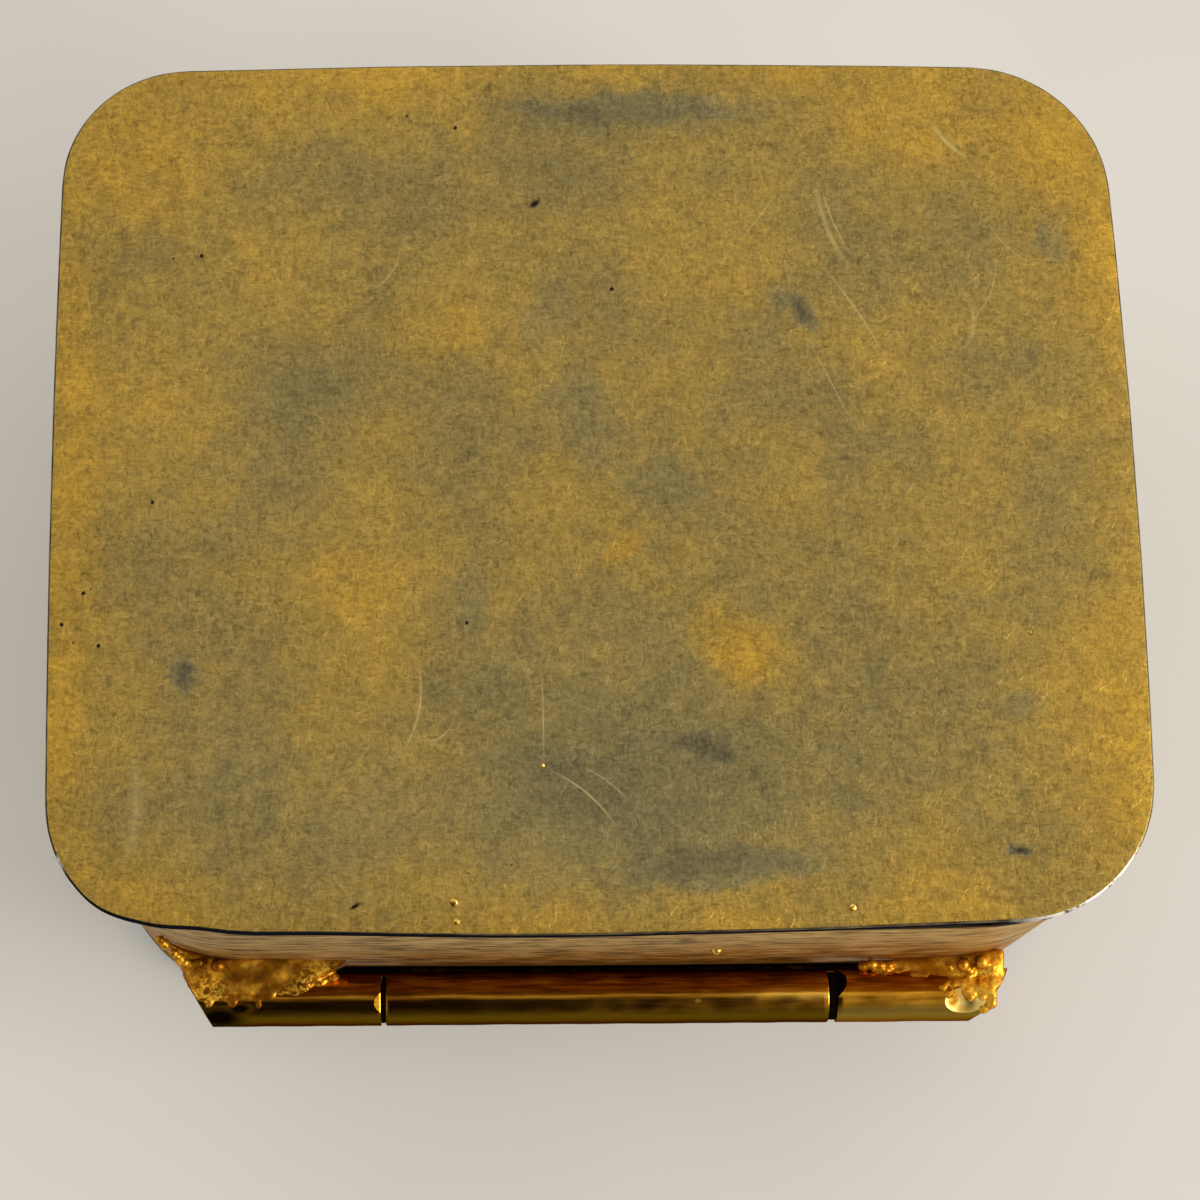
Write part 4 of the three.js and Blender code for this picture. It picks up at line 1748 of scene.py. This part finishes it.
@dataclass
class HingeSolder:
    """The solder that holds a knuckle to its wall, with the lumps that the torch left."""

    node: str
    name: str
    body: Body
    finish: Finish
    lumps: tuple[Lump, ...] = ()
    trails: tuple[Trail, ...] = ()
    tip: Hand | None = None
    taper: float = 0.0
    # The skin over the tube: from and to which X, how far round it, how thick, and how far down
    skin: tuple[float, float] | None = None
    skin_turn: float = 0
    skin_depth: float = 0.1
    skin_foot: float = 0.45
    slant: float = 31
    seed: int = 0
    # How far the fillet is moved down, and in towards the wall
    sink: float = 0.0
    press: float = 0.0
    # Where the fillet is pared down, and the way that the waste lies, and the X past which it is cut off
    pared: tuple[float, float, float] | None = None
    pared_way: tuple[float, float, float] = (0, 0, 1)
    end: float | None = None
    voxel: float = 0.1
    ease: int = 25
    swell: float = 0.16
    swell_width: float = 1.2
    crinkle: float = 0.1
    crinkle_width: float = 0.42

    def build(self) -> None:
        """Melt the fillet soft above its own underside, join the lumps and the skin, and crinkle it."""
        piece = solid_copy(self.node, self.name)
        if self.tip is not None:
            self.trim(piece, self.tip)
        with editing(piece):
            bpy.ops.transform.translate(value=(0, self.press * MM, -self.sink * MM))
        if self.sink:
            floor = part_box(self.node)[0].z + self.swell / 2 * MM
            cut_off(piece, (Vector((0, 0, floor)), Vector((0, 0, -1))))
        modify(piece, "REMESH", mode="VOXEL", voxel_size=self.voxel * MM)
        modify(piece, "SMOOTH", iterations=self.ease)
        parts = [self.over(*self.skin)] if self.skin else []
        parts += [lump.ball() for lump in self.lumps + self.strewn()]
        select_only(piece, *parts)
        bpy.ops.object.join()
        modify(piece, "REMESH", mode="VOXEL", voxel_size=self.voxel * MM)
        modify(piece, "SMOOTH", iterations=5)
        ripple(piece, self.swell_width, self.swell)
        ripple(piece, self.crinkle_width, self.crinkle)
        modify(piece, "SMOOTH", iterations=1)
        smooth(piece, 180)
        dress(piece, self.body, [self.finish], [self.node])

    def tube(self) -> tuple[Vector, Vector, float]:
        """The knuckle that the solder holds.

        Returns:
            The two corners of its box and its radius, in metres.
        """
        low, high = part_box(self.node.replace("solder", "knuckle"))
        return low, high, (high.z - low.z) / 2

    def strewn(self) -> tuple[Lump, ...]:
        """The blobs of every trail, each a little out of its place.

        Returns:
            Blobs that stand a little out of the tube.
        """
        chance = random.Random(self.seed)
        low, high, radius = self.tube()
        axis = (low + high) / 2
        found = []
        for trail in self.trails:
            for number in range(trail.count):
                share = number / max(trail.count - 1, 1)
                x = trail.start[0] + share * (trail.end[0] - trail.start[0])
                turn = trail.start[1] + share * (trail.end[1] - trail.start[1])
                x += chance.uniform(-1, 1) * trail.stray[0]
                turn = math.radians(turn + chance.uniform(-1, 1) * trail.stray[1])
                size = trail.radius * chance.uniform(0.75, 1.2)
                reach = radius / MM + trail.stand - size
                y = axis.y / MM - reach * math.sin(turn)
                z = axis.z / MM + reach * math.cos(turn)
                found.append(Lump(x, y, z, size))
        return tuple(found)

    def over(self, start: float, end: float) -> Piece:
        """A thin skin over the wall's side of the tube.

        Args:
            start: where it begins along X.
            end: where it ends along X.

        Returns:
            The upper part of a rod that stands a little out of the tube.
        """
        low, high, radius = self.tube()
        axis = (low + high) / 2
        size = radius + self.skin_depth * MM
        middle = Vector(((start + end) / 2 * MM, axis.y, axis.z))
        rod = rod_along_x("skin", middle, size, (end - start) * MM)
        turn, slant = math.radians(self.skin_turn), math.radians(self.slant)
        hand = self.tip.value if self.tip else 1
        tip = Vector((low.x if hand < 0 else high.x, high.y, 0))
        cuts = (
            (axis + Vector((0, -math.sin(turn) * size, 0)), Vector((0, -1, 0))),
            (axis + Vector((0, 0, self.skin_foot * MM)), Vector((0, 0, -1))),
            (tip, Vector((hand * math.cos(slant), -math.sin(slant), 0))),
        )
        cut_off(rod, *cuts)
        return rod

    def trim(self, piece: Piece, tip: Hand) -> None:
        """Take the fillet off past the top of the tube, and taper its inner end back to the wall.

        Args:
            piece: the fillet.
            tip: the end of the hinge that it is at.
        """
        low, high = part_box(self.node)
        tube_low, tube_high, _ = self.tube()
        crown = (tube_low.y + tube_high.y) / 2
        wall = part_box("lid_wall")[0].y
        inner = low.x if tip is Hand.RIGHT else high.x
        back = Vector((tip.value * self.taper * MM, crown - wall, 0))
        normal = Vector((-tip.value * abs(back.y), -abs(back.x), 0)).normalized()
        cut_off(piece, (Vector((0, crown, 0)), Vector((0, -1, 0))), (Vector((inner, wall, 0)), normal))
        if self.pared is not None:
            cut_off(piece, (Vector(self.pared) * MM, Vector(self.pared_way).normalized()))
        if self.end is not None:
            cut_off(piece, (Vector((self.end * MM, 0, 0)), Vector((tip.value, 0, 0))))


@dataclass
class GiltBeads:
    """Small drops of gilding that dried on the lid's plate and wall."""

    finish: Finish
    drops: tuple[Lump, ...]
    wrinkle: float = 0.12
    wrinkle_width: float = 0.3

    def build(self) -> None:
        """Place each drop half sunk in its face, join them and roughen them a little."""
        made = [drop.ball() for drop in self.drops]
        select_only(*made)
        bpy.ops.object.join()
        piece = made[0]
        piece.name = piece.data.name = "lid_gilt_drops"
        bpy.ops.object.transform_apply(location=True, rotation=True, scale=True)
        ripple(piece, self.wrinkle_width, self.wrinkle)
        smooth(piece, 180)
        dress(piece, Body.LID, [self.finish])


@dataclass
class ThumbLip:
    """The small lip on the lid's front rim that a thumb lifts."""

    finish: Finish
    edge_round: float = 0.3

    def build(self) -> None:
        """Round the lip's edges."""
        piece = solid_copy("thumb_lip", "lifting_lip")
        with editing(piece):
            bpy.ops.mesh.dissolve_limited(angle_limit=math.radians(0.5))
        ease_edges(piece, self.edge_round, 4, 50)
        smooth(piece)
        dress(piece, Body.LID, [self.finish], ["thumb_lip"])


# The photograph's camera, light and floor


@dataclass
class PhotoCamera:
    """The camera that took the photograph, fitted to the plate's outline in the plate's own frame."""

    place: tuple[float, float, float] = (-6.946, -47.215, 188.212)
    aim: tuple[float, float, float] = (0.058, -7.401, 34.0)
    roll: float = 8.89
    focal_pixels: float = 2700
    image_pixels: float = 1200
    sensor: float = 36

    def build(self) -> None:
        """Add the camera and make it the scene's."""
        data = bpy.data.cameras.new("photo_camera")
        data.sensor_width = self.sensor
        data.lens = self.focal_pixels / self.image_pixels * self.sensor
        data.clip_start = 5 * MM
        camera = bpy.data.objects.new("photo_camera", data)
        bpy.context.scene.collection.objects.link(camera)
        turn = Quaternion((0, 0, 1), math.radians(PLATE_TURN))
        ahead = turn @ (Vector(self.aim) - Vector(self.place))
        camera.rotation_mode = "QUATERNION"
        camera.location = turn @ Vector(self.place) * MM
        roll = Quaternion((0, 0, 1), math.radians(self.roll))
        camera.rotation_quaternion = ahead.to_track_quat("-Z", "Y") @ roll
        bpy.context.scene.camera = camera


@dataclass
class Studio:
    """A pale floor in an evenly lit room, with a large soft lamp low on the right and an unlit strip
    on the hinge's side, which shows dark in the polished tube."""

    floor: Finish
    floor_size: float = 6000
    sky: str = "#f0efec"
    sky_strength: float = 0.9
    far_gain: float = 0.3
    unlit: str = "#0b0908"
    # The strip's borders: an axis of the direction, where it is not yet dark, and where it is wholly dark
    strip: tuple[tuple[str, float, float], ...] = (
        ("X", -0.45, -0.2),
        ("X", 0.2, 0.07),
        ("Y", 0.14, -0.28),
        ("Z", 0.04, 0.12),
    )
    lamp_place: tuple[float, float, float] = (590, -200, 360)
    lamp_size: float = 420
    lamp_watts: float = 3.6

    def build(self) -> None:
        """Lay the floor and set the light."""
        bpy.ops.object.select_all(action="DESELECT")
        bpy.ops.mesh.primitive_plane_add(size=self.floor_size * MM)
        floor = bpy.context.view_layer.objects.active
        floor.name = "paper_floor"
        floor.data.materials.append(self.floor.material())
        lamp = bpy.data.lights.new("soft_lamp", "AREA")
        lamp.size = self.lamp_size * MM
        lamp.energy = self.lamp_watts
        holder = bpy.data.objects.new("soft_lamp", lamp)
        bpy.context.scene.collection.objects.link(holder)
        holder.location = Vector(self.lamp_place) * MM
        holder.rotation_mode = "QUATERNION"
        holder.rotation_quaternion = (-holder.location).to_track_quat("-Z", "Y")
        self.room()

    def room(self) -> None:
        """Fill the room with light, brighter on the far side, with the unlit strip on the near side."""
        world = bpy.data.worlds.new("bright_room")
        bpy.context.scene.world = world
        world.use_nodes = True
        tree = world.node_tree
        tree.nodes.clear()
        way = add_node(tree, "TexCoord").outputs["Generated"]
        axes = add_node(tree, "SeparateXYZ", {0: way})
        shape: Socket | float = 1.0
        for axis, none, full in self.strip:
            edge = add_node(
                tree,
                "MapRange",
                {"Value": axes.outputs[axis], "From Min": none, "From Max": full},
                interpolation_type="SMOOTHSTEP",
            )
            shape = add_node(tree, "Math", {0: edge.outputs[0], 1: shape}, operation="MULTIPLY").outputs[0]
        inputs = {MIX_FACTOR: shape, MIX_A: linear(self.sky), MIX_B: linear(self.unlit)}
        colour = add_node(tree, "Mix", inputs, data_type="RGBA").outputs[MIX_COLOUR]
        gain = add_node(
            tree,
            "MapRange",
            {
                "Value": axes.outputs["Y"],
                "From Min": -0.1,
                "From Max": 0.6,
                "To Min": self.sky_strength,
                "To Max": self.sky_strength + self.far_gain,
            },
            interpolation_type="SMOOTHSTEP",
        )
        light = add_node(tree, "Background", {"Color": colour, "Strength": gain.outputs[0]})
        add_node(tree, "OutputWorld", {"Surface": light.outputs[0]})
        bpy.context.scene.view_settings.view_transform = "Standard"


def main() -> None:
    """Build the box, its stage and its camera."""
    logging.basicConfig(level=logging.INFO, format="%(name)s %(message)s")
    PhotoCamera().build()
    Studio(PalePaper("uncoated_paper")).build()

    plate_low, plate_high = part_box("lid_plate")
    hinge_y, joint = (place / MM for place in frame["record"]["behaviour"]["joints"][0]["pos_m"][1:])
    top = plate_high.z / MM
    half_width = (plate_high.x - plate_low.x) / 2 / MM
    half_depth = (plate_high.y - plate_low.y) / 2 / MM
    plain = MattedGilt("matted_gilt_sheet", half_width, half_depth)
    marked = MattedGilt(
        "matted_gilt_lid",
        half_width,
        half_depth,
        marked_above=top - 0.3,
        marks=LID_MARKS,
        scratches=LID_SCRATCHES,
        pitted=LID_PITTED,
        flecks=LID_FLECKS,
    )
    base_low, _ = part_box("base_plate")
    lid_edge = WornEdge("handled_lid_edge", top - EDGE_UNSHADED, top - EDGE_SHADED, LID_POLISH_GLINTS, lean=0.005)
    foot = base_low.z / MM
    # The base's edge gets a browner painted shade towards the wall
    base_edge = WornEdge("handled_base_edge", foot + EDGE_UNSHADED, foot + EDGE_SHADED, edge_shade="#332b1e")
    filed = DrawFiled("draw_filed_wall", joint, plate_low.z / MM - joint, half_width, hinge_y)
    tube = PolishedGilt(
        "polished_gilt_tube",
        hinge_y - 0.5,
        hinge_y - 0.95,
        stains=(Mark(-23.2, -30.1, 2.2, 0.9, 0, 1.0), Mark(-21.9, -29.6, 1.2, 0.5, 0, 1.0)),
        # Painted highlights on the centre knuckle, towards its right end
        worn=(
            Mark(12.8, -28.9, 4.6, 0.6, 0, 1.0),
            Mark(13.9, -28.9, 1.6, 0.6, 0, 1.0),
            Mark(6.65, -29.36, 0.3, 0.2, 0, 1.0),
        ),
    )
    # A lighter copy of the tube finish: painted light, for the right knuckle's brighter reflections
    lit_tube = PolishedGilt(
        "lit_gilt_tube", hinge_y - 0.3, hinge_y - 0.8, gold="#dc9a2a", brown="#b07014", dull="#8f7430"
    )
    # Out of reach of these pieces, so that they are never dulled
    never_dulled = (-2 * half_depth, -3 * half_depth)
    facet = PolishedGilt(
        "file_bright_brass",
        *never_dulled,
        gold="#fbe488",
        brown="#c68e28",
        stains=(Mark(22.75, -29.35, 0.8, 0.55, 70, 1.0),),
        soot="#9a6a1c",
        streak=0.7,
        streak_length=0.9,
        rough=(0.3, 0.3),
    )
    # A lighter copy of the tube finish for the left knuckle's rubbed corner: partly rubbing, partly a
    # painted glint
    corner = PolishedGilt("rubbed_glint_tube_corner", *never_dulled, gold="#e6a832", brown="#b87a1c")
    lip = PolishedGilt("polished_gilt_lip", *never_dulled)
    solder = RoughSolder(
        "gilt_hard_solder",
        relief=0.14,
        # Partly rubbed wear, partly painted highlights
        rubbed=(
            Mark(-17.35, -28.0, 2.2, 1.3, 32, 1.0),
            Mark(-19.35, -28.7, 1.0, 0.5, 40, 0.7),
            Mark(-23.9, -28.6, 1.8, 1.6, -20, 1.0),
            Mark(-25.95, -26.4, 1.6, 0.9, -35, 0.9),
        ),
    )
    # A lighter copy of the solder finish: painted light, for the right solder, which faces the lamp
    lit_solder = RoughSolder(
        "lit_hard_solder",
        bright="#f0b43c",
        amber="#c47e16",
        brown="#96580a",
        relief=0.24,
        # Partly rubbed wear, partly painted highlights
        rubbed=(
            Mark(24.55, -28.4, 2.6, 2.2, 20, 1.0),
            Mark(18.95, -27.9, 1.6, 0.6, 0, 0.8),
            Mark(22.75, -28.9, 1.2, 0.8, 0, 0.8),
        ),
    )
    # Painted shade: the centre solder lies deep in the crevice between the wall and the centre knuckle, so
    # it is painted near black
    crevice_shade_solder = RoughSolder(
        "crevice_shade_hard_solder", bright="#3a2408", amber="#1e1206", brown="#0d0703", rough=0.5
    )
    wire = BrassWire("drawn_brass_wire")
    # Black painted shade for the gaps between the knuckles and for the broken corner
    grease = GapShade("gap_shade_black")

    Tray(Body.BASE, (plain, base_edge), (filed, plain), solder).build()
    corner_filing = ((-25.0, 0.42, 4.2), (-17.0, 0.2, 13.0))
    Tray(Body.LID, (marked, lid_edge), (filed, plain), solder, filed_back=corner_filing).build()
    Bezel(plain).build()
    Hinge(tube, lit_tube, facet, corner, wire, grease).build()
    HingeSolder(
        "hinge_solder_left",
        "left_solder_run",
        Body.LID,
        solder,
        (
            Lump(-26.65, -25.6, 21.1, 0.3),
            Lump(-26.4, -25.85, 20.7, 0.36),
            Lump(-25.95, -26.3, 19.9, 0.3),
            Lump(-25.6, -26.6, 19.4, 0.4),
            Lump(-25.2, -26.9, 18.9, 0.42),
            Lump(-24.5, -26.8, 19.0, 0.36),
            Lump(-23.3, -27.0, 19.05, 0.4),
            Lump(-22.9, -27.2, 18.9, 0.36),
        ),
        trails=(
            Trail((-24.95, -60), (-23.85, 8), 10),
            Trail((-24.05, -40), (-22.35, 14), 12),
            Trail((-22.75, -30), (-20.95, 10), 9),
            Trail((-16.5, -50), (-18.9, -10), 14, radius=0.4, stand=0.26, stray=(0.4, 9)),
            Trail((-18.9, -12), (-20.6, 10), 7, radius=0.28, stray=(0.5, 10)),
        ),
        tip=Hand.LEFT,
        taper=3.6,
        pared=(-22.0, 0, 19.5),
        pared_way=(-0.3, 0, 0.95),
        skin=(-25.8, -20.0),
        skin_turn=6,
        skin_depth=0.06,
        seed=3,
        crinkle=0.05,
        sink=0.12,
        press=0.16,
    ).build()
    HingeSolder(
        "hinge_solder_right",
        "right_solder_run",
        Body.LID,
        lit_solder,
        (
            Lump(17.2, -27.2, 17.75, 0.36),
            Lump(17.75, -27.1, 17.9, 0.34),
            Lump(18.3, -27.15, 17.85, 0.36),
            Lump(18.85, -27.15, 17.85, 0.34),
            Lump(22.6, -27.3, 18.3, 0.32),
            Lump(23.4, -27.2, 18.8, 0.42),
            Lump(23.9, -27.6, 18.5, 0.3),
            Lump(24.6, -27.1, 18.85, 0.44),
            Lump(25.3, -27.3, 18.4, 0.38),
        ),
        trails=(
            Trail((25.55, -60), (24.85, 36), 13, radius=0.38),
            Trail((25.05, -45), (24.5, 0), 10, radius=0.38),
            Trail((24.35, -34), (22.55, -14), 9, radius=0.36),
            Trail((24.5, 2), (21.9, -6), 8, radius=0.34),
            Trail((18.25, -62), (21.15, -50), 9, radius=0.36),
        ),
        tip=Hand.RIGHT,
        pared=(22.6, 0, 18.9),
        pared_way=(-0.2, 0, 0.98),
        end=26.1,
        skin=(22.6, 26.6),
        skin_turn=-8,
        skin_depth=0.06,
        seed=5,
        crinkle=0.06,
        sink=0.5,
        press=0.16,
    ).build()
    HingeSolder("hinge_solder_centre", "centre_solder_run", Body.BASE, crevice_shade_solder, swell=0.08).build()
    dried = RoughSolder(
        "dried_gilt_drops", bright="#f6d476", amber="#c89a3c", brown="#5f4516", rough=0.22, metal=1.0
    )
    GiltBeads(
        dried,
        (
            Lump(-8.4, -25.25, top - 0.18, 0.34),
            Lump(-8.3, -26.35, top - 0.14, 0.26),
            Lump(14.5, -25.7, top - 0.16, 0.28),
            Lump(25.7, -9.4, top - 0.08, 0.18),
            Lump(-3.3, -17.3, top - 0.08, 0.16),
            Lump(7.43, -26.8, 24.0, 0.35),
        ),
    ).build()
    ThumbLip(lip).build()


if __name__ == "__main__":
    main()
